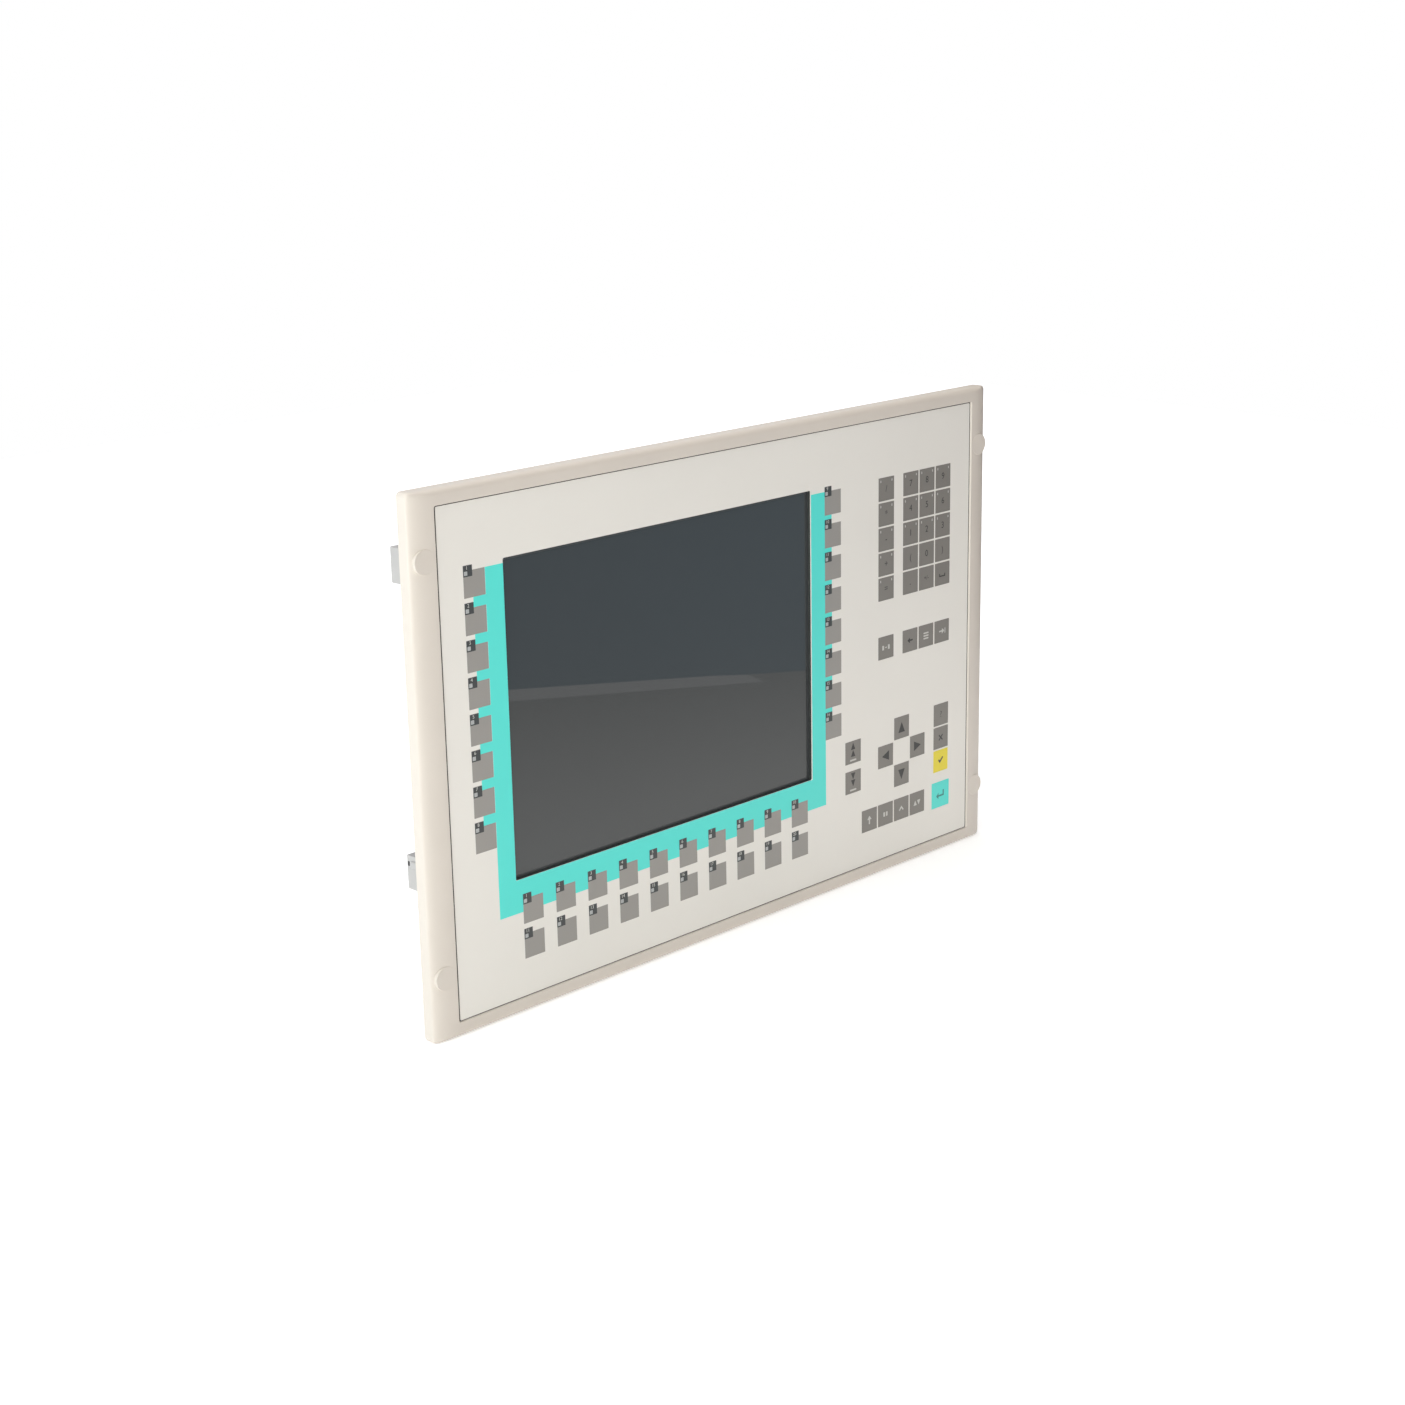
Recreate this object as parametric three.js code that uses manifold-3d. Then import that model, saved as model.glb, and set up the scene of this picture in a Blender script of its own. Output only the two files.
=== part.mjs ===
// Key-operated operator panel with a 12.1 inch display, 19 inches wide and 7 units high,
// made to be clamped into a cut-out of a cabinet door or console.
//
// Millimetres. X runs to the operator's right, Y rearwards into the cabinet and Z up.
// The origin is the centre of the mounting plane, the rear face of the front frame's flange.
// Inside the group every Y is a depth behind the face of the front film.
import * as THREE from 'three';
import { mergeVertices } from 'three/addons/utils/BufferGeometryUtils.js';
import Module from 'manifold-3d';

// ---- driving dimensions ----------------------------------------------------------------

const GAP = 0.3; // clearance left between neighbouring pieces
const OVERCUT = 1; // how far a cutting tool runs past the face that it opens
const CORNER_STEPS = 3;

// front frame
const FRAME_WIDTH = 482.6;
const FRAME_HEIGHT = 310.3;
const FRAME_CORNER = 2.5;
const FLANGE_REAR = 10.3;
const LIP_FACE = -0.9; // the frame's flat front stands proud of the film
const CROWN_START = 3.5; // depth where the side walls begin to turn over to the front
const CROWN_SIDE = 15.3; // width of the turn on the side rails
const CROWN_TOP = 3.5; // width of the turn along the top and bottom edges
const CROWN_STEPS = 4;
const CAVITY = { width: 445, height: 287, corner: 3 };
const GASKET = { width: 465.4, height: 303 };
const GASKET_WIDTH = 4.4;
const GASKET_FRONT = 8.6;
const WEB = { front: 0.8, rear: 3.3 };

// closed bosses at the fixing places of a 19 inch rack
const RACK_HOLE_X = 465.1 / 2;
const RACK_HOLE_Z = 234.9 / 2;
const RACK_BOSS_RADIUS = 7;
const RACK_BOSS_FACE = LIP_FACE - 0.05;

// front film and display window
const FILM = { width: 447, height: 291.4, corner: 1.2 };
const FILM_RECESS = { width: 449.6, height: 292.8, corner: 2 };
const FILM_THICKNESS = 0.5;
const SCREEN = { x: -54.85, z: 17.85 };
const WINDOW = { ...SCREEN, width: 247.7, height: 185.7, corner: 1 };
const PANE = { ...SCREEN, width: 262, height: 200, corner: 2 };
const PANE_FRONT = 2.5;
const PANE_REAR = 4.5;
const PANE_MARGIN = 0.5;
const LCD = { ...SCREEN, width: 272, height: 209 };
const LCD_FRONT = 4.8;
const LCD_REAR = 15.8;
const LCD_IMAGE = { ...SCREEN, width: 246, height: 184.5 };
const LCD_IMAGE_RECESS = 0.8;

// keys
const KEY = 15;
const ENTER_KEY = 18;
const KEY_THICKNESS = 2;
const KEY_TRAVEL = 0.5;
const PLUNGER = 4;
const PAD_PITCH = 16.2;
const PAD_RIGHT = 196.9; // centre of the keypad's last column
const PAD_TOP = 101.3; // centre of the keypad's first row
const OPERATOR_X = 140.4;
const EDIT_ROW_Z = -2.4;
const CURSOR = { x: 156.4, z: -75.8, pitch: 16.1 };
const SCROLL = { x: 108.2, z: [-65.6, -85.7] };
const BOTTOM_ROW_Z = -115.7;

// boards, tray and housing
const BOARD = 1.6;
const KEYPAD_BOARD = { width: 436, height: 278 };
const KEYPAD_BOARD_FRONT = 5.8;
const LCD_MARGIN = 0.8;
const SHEET = 1.5;
const TRAY = { width: 443, height: 285, corner: 3 };
const TRAY_FRONT = 8;
const TRAY_REAR = 32;
const CABLE_SLOT = { x: 120, z: 40, width: 60, height: 30 };
const INVERTER = { x: 112, z: -40, width: 30, height: 120 };
const INVERTER_FRONT = 19;
const COVER_SHEET = 1.2;
const HOUSING = { width: 384, height: 272, corner: 3 };
const HOUSING_LIP = 8;
const COVER_REAR = 70.3;
const VENT = { width: 46, height: 3.6, pitch: 8, rows: 12, columns: [-130, -44, 44, 130] };
const MAIN_BOARD = { x: 0, z: -28, width: 300, height: 200 };
const MAIN_BOARD_FRONT = 42;
const COOLER = { x: -40, z: 10, size: 50, base: 4, height: 16, fins: 7, fin: 2 };
const SPACER = 7;

// ports in the underside of the housing: x, width, front depth, rear depth
const POWER_PORT = { x: -118, width: 26, front: 44, rear: 56 };
const SERIAL_PORT = { x: -52, width: 39, front: 44, rear: 56.5 };
const NETWORK_PORT = { x: 20, width: 16.4, front: 44, rear: 57.4 };
const PORT_TOP = -122;
const PORT_FACE = -140;
const PORT_MARGIN = 0.5;
const WIRE_PITCH = 7.6;
const WIRE_ENTRY = 3.2;
const SERIAL_SHELL = { wide: 25.2, narrow: 22.2, depth: 8.4, length: 6 };

// clamps on the tray's side walls
const CLAMP = { inner: 221.8, outer: 232, front: 16.3, rear: 28, height: 20 };
const CLAMP_SLOT = { front: 20, rear: 24, height: 12 };
const CLAMP_REACH = 5; // how far the tongue reaches in from the tray wall's outer face
const CLAMP_HOOK = { thickness: 2.5, length: 4 };
const CLAMP_UPPER_Z = 112;
const CLAMP_LOWER_Z = -62;
const CLAMP_NOTCH = { inner: 226.4, front: 19.5, rear: 25, height: 6.4 };
const SCREW = { x: 228.4, rise: 5, radius: 2, tip: 12.8, rear: 28.2 };
const SCREW_SOCKET = { radius: 1.1, depth: 2.5 };
const SCREW_HOLE_RADIUS = 2.5;

// ---- materials -------------------------------------------------------------------------

const paint = (color, roughness, metalness = 0) => (
  new THREE.MeshStandardMaterial({ color, roughness, metalness })
);

const BEIGE = paint(0xe9dfd3, 0.5);
const FILM_WHITE = paint(0xdedbd3, 0.4);
const GLASS = paint(0x3f4446, 0.1);
const KEY_GREY = paint(0x7c7771, 0.45);
const KEY_YELLOW = paint(0xdecf46, 0.45);
const KEY_TURQUOISE = paint(0x5fdccb, 0.45);
const ZINC = paint(0xb9bcbd, 0.4, 0.9);
const BOARD_GREEN = paint(0x2f6b45, 0.5);
const RUBBER = paint(0x26272a, 0.8);
const CLAMP_GREY = paint(0xcfd1d0, 0.45, 0.3);
const STEEL = paint(0xa9abad, 0.3, 1);
const PORT_BLACK = paint(0x1f2022, 0.6);
const PORT_GREEN = paint(0x3d9a55, 0.5);

// ---- geometry helpers ------------------------------------------------------------------

const wasm = await Module();
wasm.setup();

function solid(geometry) {
  const bare = geometry.clone();
  bare.deleteAttribute('normal');
  bare.deleteAttribute('uv');
  const merged = mergeVertices(bare, 1e-4);
  return new wasm.Manifold(new wasm.Mesh({
    numProp: 3,
    vertProperties: Float32Array.from(merged.attributes.position.array),
    triVerts: Uint32Array.from(merged.index.array),
  }));
}

function geometryOf(body) {
  const mesh = body.getMesh();
  const geometry = new THREE.BufferGeometry();
  geometry.setAttribute('position', new THREE.BufferAttribute(mesh.vertProperties, 3));
  geometry.setIndex(new THREE.BufferAttribute(mesh.triVerts, 1));
  geometry.computeVertexNormals();
  return geometry;
}

function join(first, ...others) {
  return others.reduce((body, other) => body.add(other), first);
}

function cut(first, ...tools) {
  return tools.reduce((body, tool) => body.subtract(tool), first);
}

// A box between two limits on each axis.
function block([x0, x1], [y0, y1], [z0, z1]) {
  const geometry = new THREE.BoxGeometry(x1 - x0, y1 - y0, z1 - z0);
  geometry.translate((x0 + x1) / 2, (y0 + y1) / 2, (z0 + z1) / 2);
  return geometry;
}

// A box across Y, given by its outline and its front and rear depths.
function box({ x = 0, z = 0, width, height }, front, rear) {
  return block([x - width / 2, x + width / 2], [front, rear], [z - height / 2, z + height / 2]);
}

// A rectangle with round corners, used both as an outline and as a hole.
function rectangle({ width, height, corner = 0, x = 0, z = 0 }) {
  const shape = new THREE.Shape();
  const right = x + width / 2 - corner;
  const left = x - width / 2 + corner;
  const top = z + height / 2 - corner;
  const bottom = z - height / 2 + corner;
  if (corner === 0) {
    shape.moveTo(left, bottom).lineTo(right, bottom).lineTo(right, top).lineTo(left, top);
    return shape;
  }
  shape.absarc(right, top, corner, 0, Math.PI / 2);
  shape.absarc(left, top, corner, Math.PI / 2, Math.PI);
  shape.absarc(left, bottom, corner, Math.PI, 1.5 * Math.PI);
  shape.absarc(right, bottom, corner, 1.5 * Math.PI, 2 * Math.PI);
  return shape;
}

// A plate that lies across Y between two depths, with the given holes right through it.
function plate(outline, front, rear, holes = []) {
  const shape = rectangle(outline);
  shape.holes = holes.map(rectangle);
  const depth = rear - front;
  const options = { depth, bevelEnabled: false, curveSegments: CORNER_STEPS };
  const geometry = new THREE.ExtrudeGeometry(shape, options);
  geometry.rotateX(Math.PI / 2);
  geometry.translate(0, rear, 0);
  return geometry;
}

const grown = (outline, amount) => ({
  ...outline,
  width: outline.width + 2 * amount,
  height: outline.height + 2 * amount,
});

// ---- keys ------------------------------------------------------------------------------

const padColumn = (column) => PAD_RIGHT - PAD_PITCH * (2 - column);
const padRow = (row) => PAD_TOP - PAD_PITCH * row;

const OPERATORS = ['divide', 'times', 'minus', 'plus', 'equals'];
const PAD = [
  ['7', '8', '9'],
  ['4', '5', '6'],
  ['1', '2', '3'],
  ['open_bracket', '0', 'close_bracket'],
  ['point', 'sign', 'space'],
];
const EDITING = ['backspace', 'insert_delete', 'tab'];
const COLUMN_OF_THREE = ['help', 'escape', 'acknowledge'];
const MODIFIERS = ['shift', 'function', 'control', 'alternate'];

function keyList() {
  const keys = [];
  const add = (name, x, z, size = KEY) => keys.push({ name: `key_${name}`, x, z, size });

  OPERATORS.forEach((name, row) => add(name, OPERATOR_X, padRow(row)));
  PAD.forEach((names, row) => {
    names.forEach((name, column) => add(name, padColumn(column), padRow(row)));
  });

  add('letters', OPERATOR_X, EDIT_ROW_Z);
  EDITING.forEach((name, column) => add(name, padColumn(column), EDIT_ROW_Z));

  add('page_up', SCROLL.x, SCROLL.z[0]);
  add('page_down', SCROLL.x, SCROLL.z[1]);

  add('up', CURSOR.x, CURSOR.z + CURSOR.pitch);
  add('down', CURSOR.x, CURSOR.z - CURSOR.pitch);
  add('left', CURSOR.x - CURSOR.pitch, CURSOR.z);
  add('right', CURSOR.x + CURSOR.pitch, CURSOR.z);

  COLUMN_OF_THREE.forEach((name, row) => {
    add(name, PAD_RIGHT, CURSOR.z + CURSOR.pitch * (1 - row));
  });
  add('enter', PAD_RIGHT, BOTTOM_ROW_Z, ENTER_KEY);
  MODIFIERS.forEach((name, column) => {
    add(name, CURSOR.x + CURSOR.pitch * (column - 2), BOTTOM_ROW_Z);
  });
  return keys;
}

const KEYS = keyList();

const KEY_HOLES = KEYS.map(({ x, z, size }) => (
  { x, z, width: size + GAP, height: size + GAP }
));

// A flat cap that fills its field of the film, on a plunger that reaches for the board behind it.
function keyCap(size) {
  const plungerEnd = KEYPAD_BOARD_FRONT - KEY_TRAVEL - GAP;
  const cap = solid(box({ width: size - GAP, height: size - GAP }, 0, KEY_THICKNESS));
  const plunger = solid(box({ width: PLUNGER, height: PLUNGER }, KEY_THICKNESS / 2, plungerEnd));
  return geometryOf(join(cap, plunger));
}

// ---- front -----------------------------------------------------------------------------

// One outline of the frame's outer body, as points round a rectangle with round corners.
function frameRing(halfWidth, halfHeight, depth) {
  const points = [];
  const corners = [[1, 1], [-1, 1], [-1, -1], [1, -1]];
  corners.forEach(([sideX, sideZ], quarter) => {
    for (let step = 0; step <= CORNER_STEPS; step += 1) {
      const angle = (quarter + step / CORNER_STEPS) * (Math.PI / 2);
      const x = sideX * (halfWidth - FRAME_CORNER) + FRAME_CORNER * Math.cos(angle);
      const z = sideZ * (halfHeight - FRAME_CORNER) + FRAME_CORNER * Math.sin(angle);
      points.push(new THREE.Vector3(x, depth, z));
    }
  });
  return points;
}

// A closed body through outlines of equal point count, given from the rear to the front.
function loft(rings) {
  const count = rings[0].length;
  const index = [];
  for (let ring = 0; ring < rings.length - 1; ring += 1) {
    for (let point = 0; point < count; point += 1) {
      const next = (point + 1) % count;
      const rear = ring * count;
      const front = rear + count;
      index.push(rear + point, rear + next, front + next);
      index.push(rear + point, front + next, front + point);
    }
  }
  const last = (rings.length - 1) * count;
  for (let point = 1; point < count - 1; point += 1) {
    index.push(0, point + 1, point);
    index.push(last, last + point, last + point + 1);
  }
  const geometry = new THREE.BufferGeometry().setFromPoints(rings.flat());
  geometry.setIndex(index);
  return geometry;
}

// The side walls run straight and then turn over to the flat front in a quarter of an ellipse.
function frameBody() {
  const halfWidth = FRAME_WIDTH / 2;
  const halfHeight = FRAME_HEIGHT / 2;
  const rings = [frameRing(halfWidth, halfHeight, FLANGE_REAR)];
  for (let step = 0; step <= CROWN_STEPS; step += 1) {
    const angle = (step / CROWN_STEPS) * (Math.PI / 2);
    const inset = 1 - Math.cos(angle);
    const depth = CROWN_START + (LIP_FACE - CROWN_START) * Math.sin(angle);
    rings.push(frameRing(halfWidth - CROWN_SIDE * inset, halfHeight - CROWN_TOP * inset, depth));
  }
  return solid(loft(rings));
}

function rackBosses() {
  const bosses = [];
  for (const x of [-RACK_HOLE_X, RACK_HOLE_X]) {
    for (const z of [-RACK_HOLE_Z, RACK_HOLE_Z]) {
      const length = CROWN_START + OVERCUT - RACK_BOSS_FACE;
      const boss = new THREE.CylinderGeometry(RACK_BOSS_RADIUS, RACK_BOSS_RADIUS, length, 20);
      boss.translate(x, RACK_BOSS_FACE + length / 2, z);
      bosses.push(solid(boss));
    }
  }
  return bosses;
}

function gasketRing(clearance, front, rear) {
  const inside = grown(GASKET, -GASKET_WIDTH - clearance);
  return plate(grown(GASKET, clearance), front, rear, [inside]);
}

// A moulding whose thin web carries the film in front and leaves room behind for the boards.
function frontFrame() {
  const tools = [
    plate(FILM_RECESS, LIP_FACE - OVERCUT, WEB.front),
    plate(CAVITY, WEB.rear, FLANGE_REAR + OVERCUT),
    plate(grown(PANE, PANE_MARGIN), PANE_FRONT - GAP, WEB.rear + OVERCUT),
    gasketRing(GAP, GASKET_FRONT - GAP, FLANGE_REAR + OVERCUT),
    ...[WINDOW, ...KEY_HOLES].map((hole) => plate(hole, WEB.front - OVERCUT, WEB.rear + OVERCUT)),
  ];
  return geometryOf(cut(join(frameBody(), ...rackBosses()), ...tools.map(solid)));
}

// The film's key fields are separate caps, so it has a hole for each of them and for the window.
function frontFilm() {
  const holes = [WINDOW, ...KEY_HOLES];
  const tools = holes.map((hole) => solid(plate(hole, -OVERCUT, FILM_THICKNESS + OVERCUT)));
  return geometryOf(cut(solid(plate(FILM, 0, FILM_THICKNESS)), ...tools));
}

// The module's metal frame stands round the image area.
function lcdModule() {
  const image = box(LCD_IMAGE, LCD_FRONT - OVERCUT, LCD_FRONT + LCD_IMAGE_RECESS);
  return geometryOf(cut(solid(box(LCD, LCD_FRONT, LCD_REAR)), solid(image)));
}

function keypadBoard() {
  const opening = grown(LCD, LCD_MARGIN);
  return plate(KEYPAD_BOARD, KEYPAD_BOARD_FRONT, KEYPAD_BOARD_FRONT + BOARD, [opening]);
}

// ---- tray, housing and electronics -----------------------------------------------------

const CLAMP_PLACES = [
  { name: 'left_upper', side: -1, z: CLAMP_UPPER_Z },
  { name: 'left_lower', side: -1, z: CLAMP_LOWER_Z },
  { name: 'right_upper', side: 1, z: CLAMP_UPPER_Z },
  { name: 'right_lower', side: 1, z: CLAMP_LOWER_Z },
];

// A folded tray behind the front, open forwards, with a slot in its sides for each clamp.
function supportTray() {
  const shell = plate(TRAY, TRAY_FRONT, TRAY_REAR);
  const tools = [
    plate(grown(TRAY, -SHEET), TRAY_FRONT - OVERCUT, TRAY_REAR - SHEET),
    box(CABLE_SLOT, TRAY_REAR - SHEET - OVERCUT, TRAY_REAR + OVERCUT),
  ];
  for (const { side, z } of CLAMP_PLACES) {
    const wall = { x: side * (TRAY.width / 2), z, width: 4 * SHEET, height: CLAMP_SLOT.height };
    tools.push(box(wall, CLAMP_SLOT.front, CLAMP_SLOT.rear));
  }
  return geometryOf(cut(solid(shell), ...tools.map(solid)));
}

// Components that stand on the board's front or rear face: outline, then height above the face.
// Each one is sunk a little into the board, so that the whole is one body.
const SUNK = 0.5;

function onFront(boardFront, component, height) {
  return box(component, boardFront - height, boardFront + SUNK);
}

function onRear(boardFront, component, height) {
  return box(component, boardFront + BOARD - SUNK, boardFront + BOARD + height);
}

// Two transformers and a socket in front, and two spacers that stand on the tray.
function backlightInverter() {
  const { x, z, height } = INVERTER;
  const transformer = { x, width: 18, height: 26 };
  const spacer = { x, width: SPACER, height: SPACER };
  const spacerHeight = TRAY_REAR - SHEET - GAP - INVERTER_FRONT - BOARD;
  const parts = [
    box(INVERTER, INVERTER_FRONT, INVERTER_FRONT + BOARD),
    onFront(INVERTER_FRONT, { ...transformer, z: z + height / 4 }, 7),
    onFront(INVERTER_FRONT, { ...transformer, z: z - height / 6 }, 7),
    onFront(INVERTER_FRONT, { x, z: z - height / 2 + 8, width: 14, height: 6 }, 4),
    onRear(INVERTER_FRONT, { ...spacer, z: z + height / 2 - SPACER }, spacerHeight),
    onRear(INVERTER_FRONT, { ...spacer, z: z - height / 2 + SPACER }, spacerHeight),
  ];
  return geometryOf(join(...parts.map(solid)));
}

const PORTS = [POWER_PORT, SERIAL_PORT, NETWORK_PORT];

// Four walls with a lip turned inwards at the rear, which the cover is screwed to.
function rearHousing() {
  const front = TRAY_REAR + GAP;
  const rear = COVER_REAR - COVER_SHEET - GAP;
  const walls = solid(plate(HOUSING, front, rear, [grown(HOUSING, -COVER_SHEET)]));
  const lip = solid(plate(HOUSING, rear - COVER_SHEET, rear, [grown(HOUSING, -HOUSING_LIP)]));
  const cutouts = PORTS.map((port) => solid(box(
    { x: port.x, z: -HOUSING.height / 2, width: port.width + 1, height: 4 * COVER_SHEET },
    port.front - PORT_MARGIN,
    port.rear + PORT_MARGIN,
  )));
  return geometryOf(cut(join(walls, lip), ...cutouts));
}

function rearCover() {
  const front = COVER_REAR - COVER_SHEET;
  const tools = [];
  for (const x of VENT.columns) {
    for (let row = 0; row < VENT.rows; row += 1) {
      const z = VENT.pitch * (row - (VENT.rows - 1) / 2);
      const slot = { x, z, width: VENT.width, height: VENT.height };
      tools.push(solid(plate(slot, front - OVERCUT, COVER_REAR + OVERCUT)));
    }
  }
  return geometryOf(cut(solid(plate(HOUSING, front, COVER_REAR)), ...tools));
}

// The processor's cooler: a base with upright fins.
function cooler() {
  const { x, z, size, base, height, fins, fin } = COOLER;
  const parts = [onRear(MAIN_BOARD_FRONT, { x, z, width: size, height: size }, base)];
  const pitch = (size - fin) / (fins - 1);
  for (let place = 0; place < fins; place += 1) {
    const blade = { x: x + pitch * (place - (fins - 1) / 2), z, width: fin, height: size };
    parts.push(onRear(MAIN_BOARD_FRONT, blade, height));
  }
  return parts;
}

// The board on four spacers, with its cooler, memory, chips, power coil, capacitors and card cage.
function mainBoard() {
  const { x, z, width, height } = MAIN_BOARD;
  const parts = [box(MAIN_BOARD, MAIN_BOARD_FRONT, MAIN_BOARD_FRONT + BOARD), ...cooler()];
  for (const sideX of [-1, 1]) {
    for (const sideZ of [-1, 1]) {
      const spacer = {
        x: x + sideX * (width / 2 - 2 * SPACER),
        z: z + sideZ * (height / 2 - 2 * SPACER),
        width: SPACER,
        height: SPACER,
      };
      parts.push(onFront(MAIN_BOARD_FRONT, spacer, MAIN_BOARD_FRONT - TRAY_REAR - GAP));
    }
  }
  const components = [
    [{ x: 40, z: 30, width: 68, height: 12 }, 5],
    [{ x: 40, z: 8, width: 30, height: 22 }, 2.4],
    [{ x: 110, z: 10, width: 44, height: 40 }, 12],
    [{ x: -116, z: -60, width: 22, height: 34 }, 14],
    [{ x: 90, z: -86, width: 43, height: 50 }, 6],
  ];
  components.forEach(([outline, rise]) => parts.push(onRear(MAIN_BOARD_FRONT, outline, rise)));
  return geometryOf(join(...parts.map(solid)));
}

// A box that reaches from inside the housing to a port's face, or past it.
function portBox(x, width, front, rear, inner, outer = PORT_FACE) {
  return solid(block([x - width / 2, x + width / 2], [front, rear], [outer, inner]));
}

// A plug-in terminal with an entry for each of its three wires.
function powerTerminal() {
  const { x, width, front, rear } = POWER_PORT;
  const wireEntries = [-1, 0, 1].map((place) => portBox(
    x + place * WIRE_PITCH, WIRE_ENTRY, front + 4, front + 4 + WIRE_ENTRY, PORT_FACE + 8, PORT_FACE - 1,
  ));
  return geometryOf(cut(portBox(x, width, front, rear, PORT_TOP), ...wireEntries));
}

// A flanged socket with a D-shaped shell that narrows towards the rear.
function serialPort() {
  const { x, width, front, rear } = SERIAL_PORT;
  const { wide, narrow, depth, length } = SERIAL_SHELL;
  const middle = (front + rear) / 2;
  const outline = new THREE.Shape();
  outline.moveTo(x - wide / 2, middle - depth / 2);
  outline.lineTo(x + wide / 2, middle - depth / 2);
  outline.lineTo(x + narrow / 2, middle + depth / 2);
  outline.lineTo(x - narrow / 2, middle + depth / 2);
  const options = { depth: length + OVERCUT, bevelEnabled: false };
  const shell = new THREE.ExtrudeGeometry(outline, options);
  shell.translate(0, 0, PORT_FACE - length);
  return geometryOf(join(portBox(x, width, front, rear, PORT_TOP), solid(shell)));
}

// A socket for a modular plug, with the notch for the plug's latch.
function networkPort() {
  const { x, width, front, rear } = NETWORK_PORT;
  const socket = portBox(x, 11.8, front + 2.4, rear - 3, PORT_FACE + 13, PORT_FACE - 1);
  const latch = portBox(x, 6, rear - 4, rear - 1, PORT_FACE + 7, PORT_FACE - 1);
  return geometryOf(cut(portBox(x, width, front, rear, PORT_TOP), socket, latch));
}

// ---- clamps ----------------------------------------------------------------------------

// A block outside the tray with a tongue that passes through the wall and hooks behind it.
// A notch in its outer side shows the middle of its screw.
function clamp(side) {
  const span = (near, far) => (side > 0 ? [near, far] : [-far, -near]);
  const tongueInner = TRAY.width / 2 - CLAMP_REACH;
  const tongueHalf = CLAMP_SLOT.height / 2 - GAP;
  const tongueFront = CLAMP_SLOT.front + GAP;
  const tongueRear = CLAMP_SLOT.rear - GAP;
  const half = CLAMP.height / 2;
  const across = [-tongueHalf, tongueHalf];
  const parts = [
    block(span(CLAMP.inner, CLAMP.outer), [CLAMP.front, CLAMP.rear], [-half, half]),
    block(span(tongueInner, CLAMP.inner + OVERCUT), [tongueFront, tongueRear], across),
    block(
      span(tongueInner, tongueInner + CLAMP_HOOK.thickness),
      [tongueFront - CLAMP_HOOK.length, tongueRear],
      across,
    ),
  ];
  const length = CLAMP.rear - CLAMP.front + 2 * OVERCUT;
  const hole = new THREE.CylinderGeometry(SCREW_HOLE_RADIUS, SCREW_HOLE_RADIUS, length, 16);
  hole.translate(side * SCREW.x, (CLAMP.front + CLAMP.rear) / 2, SCREW.rise);
  const notch = block(
    span(CLAMP_NOTCH.inner, CLAMP.outer + OVERCUT),
    [CLAMP_NOTCH.front, CLAMP_NOTCH.rear],
    [SCREW.rise - CLAMP_NOTCH.height / 2, SCREW.rise + CLAMP_NOTCH.height / 2],
  );
  return geometryOf(cut(join(...parts.map(solid)), solid(hole), solid(notch)));
}

// A set screw with a coned tip towards the panel and a socket for the key at the rear.
function clampScrew() {
  const { radius, tip, rear } = SCREW;
  const profile = [
    [0, tip], [radius / 2, tip], [radius, tip + radius / 2], [radius, rear],
    [SCREW_SOCKET.radius, rear],
    [SCREW_SOCKET.radius, rear - SCREW_SOCKET.depth],
    [0, rear - SCREW_SOCKET.depth],
  ];
  return new THREE.LatheGeometry(profile.map(([r, y]) => new THREE.Vector2(r, y)), 12);
}

// ---- assembly --------------------------------------------------------------------------

const group = new THREE.Group();
group.position.y = -FLANGE_REAR;

function place(name, geometry, material, x = 0, z = 0) {
  const mesh = new THREE.Mesh(geometry, material.clone());
  mesh.name = name;
  mesh.position.set(x, 0, z);
  group.add(mesh);
}

place('front_frame', frontFrame(), BEIGE);
place('front_film', frontFilm(), FILM_WHITE);
place('display_pane', plate(PANE, PANE_FRONT, PANE_REAR), GLASS);
place('lcd_module', lcdModule(), ZINC);
place('keypad_board', keypadBoard(), BOARD_GREEN);
place('mounting_gasket', gasketRing(0, GASKET_FRONT, FLANGE_REAR), RUBBER);

const KEY_COLOURS = { key_acknowledge: KEY_YELLOW, key_enter: KEY_TURQUOISE };
for (const { name, x, z, size } of KEYS) {
  place(name, keyCap(size), KEY_COLOURS[name] ?? KEY_GREY, x, z);
}

place('support_tray', supportTray(), ZINC);
place('backlight_inverter', backlightInverter(), BOARD_GREEN);
place('main_board', mainBoard(), BOARD_GREEN);
place('rear_housing', rearHousing(), ZINC);
place('rear_cover', rearCover(), ZINC);
place('power_terminal', powerTerminal(), PORT_GREEN);
place('serial_port', serialPort(), STEEL);
place('network_port', networkPort(), PORT_BLACK);

for (const { name, side, z } of CLAMP_PLACES) {
  place(`clamp_${name}`, clamp(side), CLAMP_GREY, 0, z);
  place(`clamp_screw_${name}`, clampScrew(), STEEL, side * SCREW.x, z + SCREW.rise);
}

export default group;
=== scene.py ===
"""Looks of a key-operated operator panel with a 12.1 inch display.

Every length is in millimetres until it reaches `point`, which turns it into the frame's metres.
A place on the panel is (x, depth, z): x to the operator's right, depth behind the face of the
front film, and z up.
"""

import math

import bmesh
import bpy
from mathutils import Matrix, Vector
from mathutils.geometry import delaunay_2d_cdt


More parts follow.
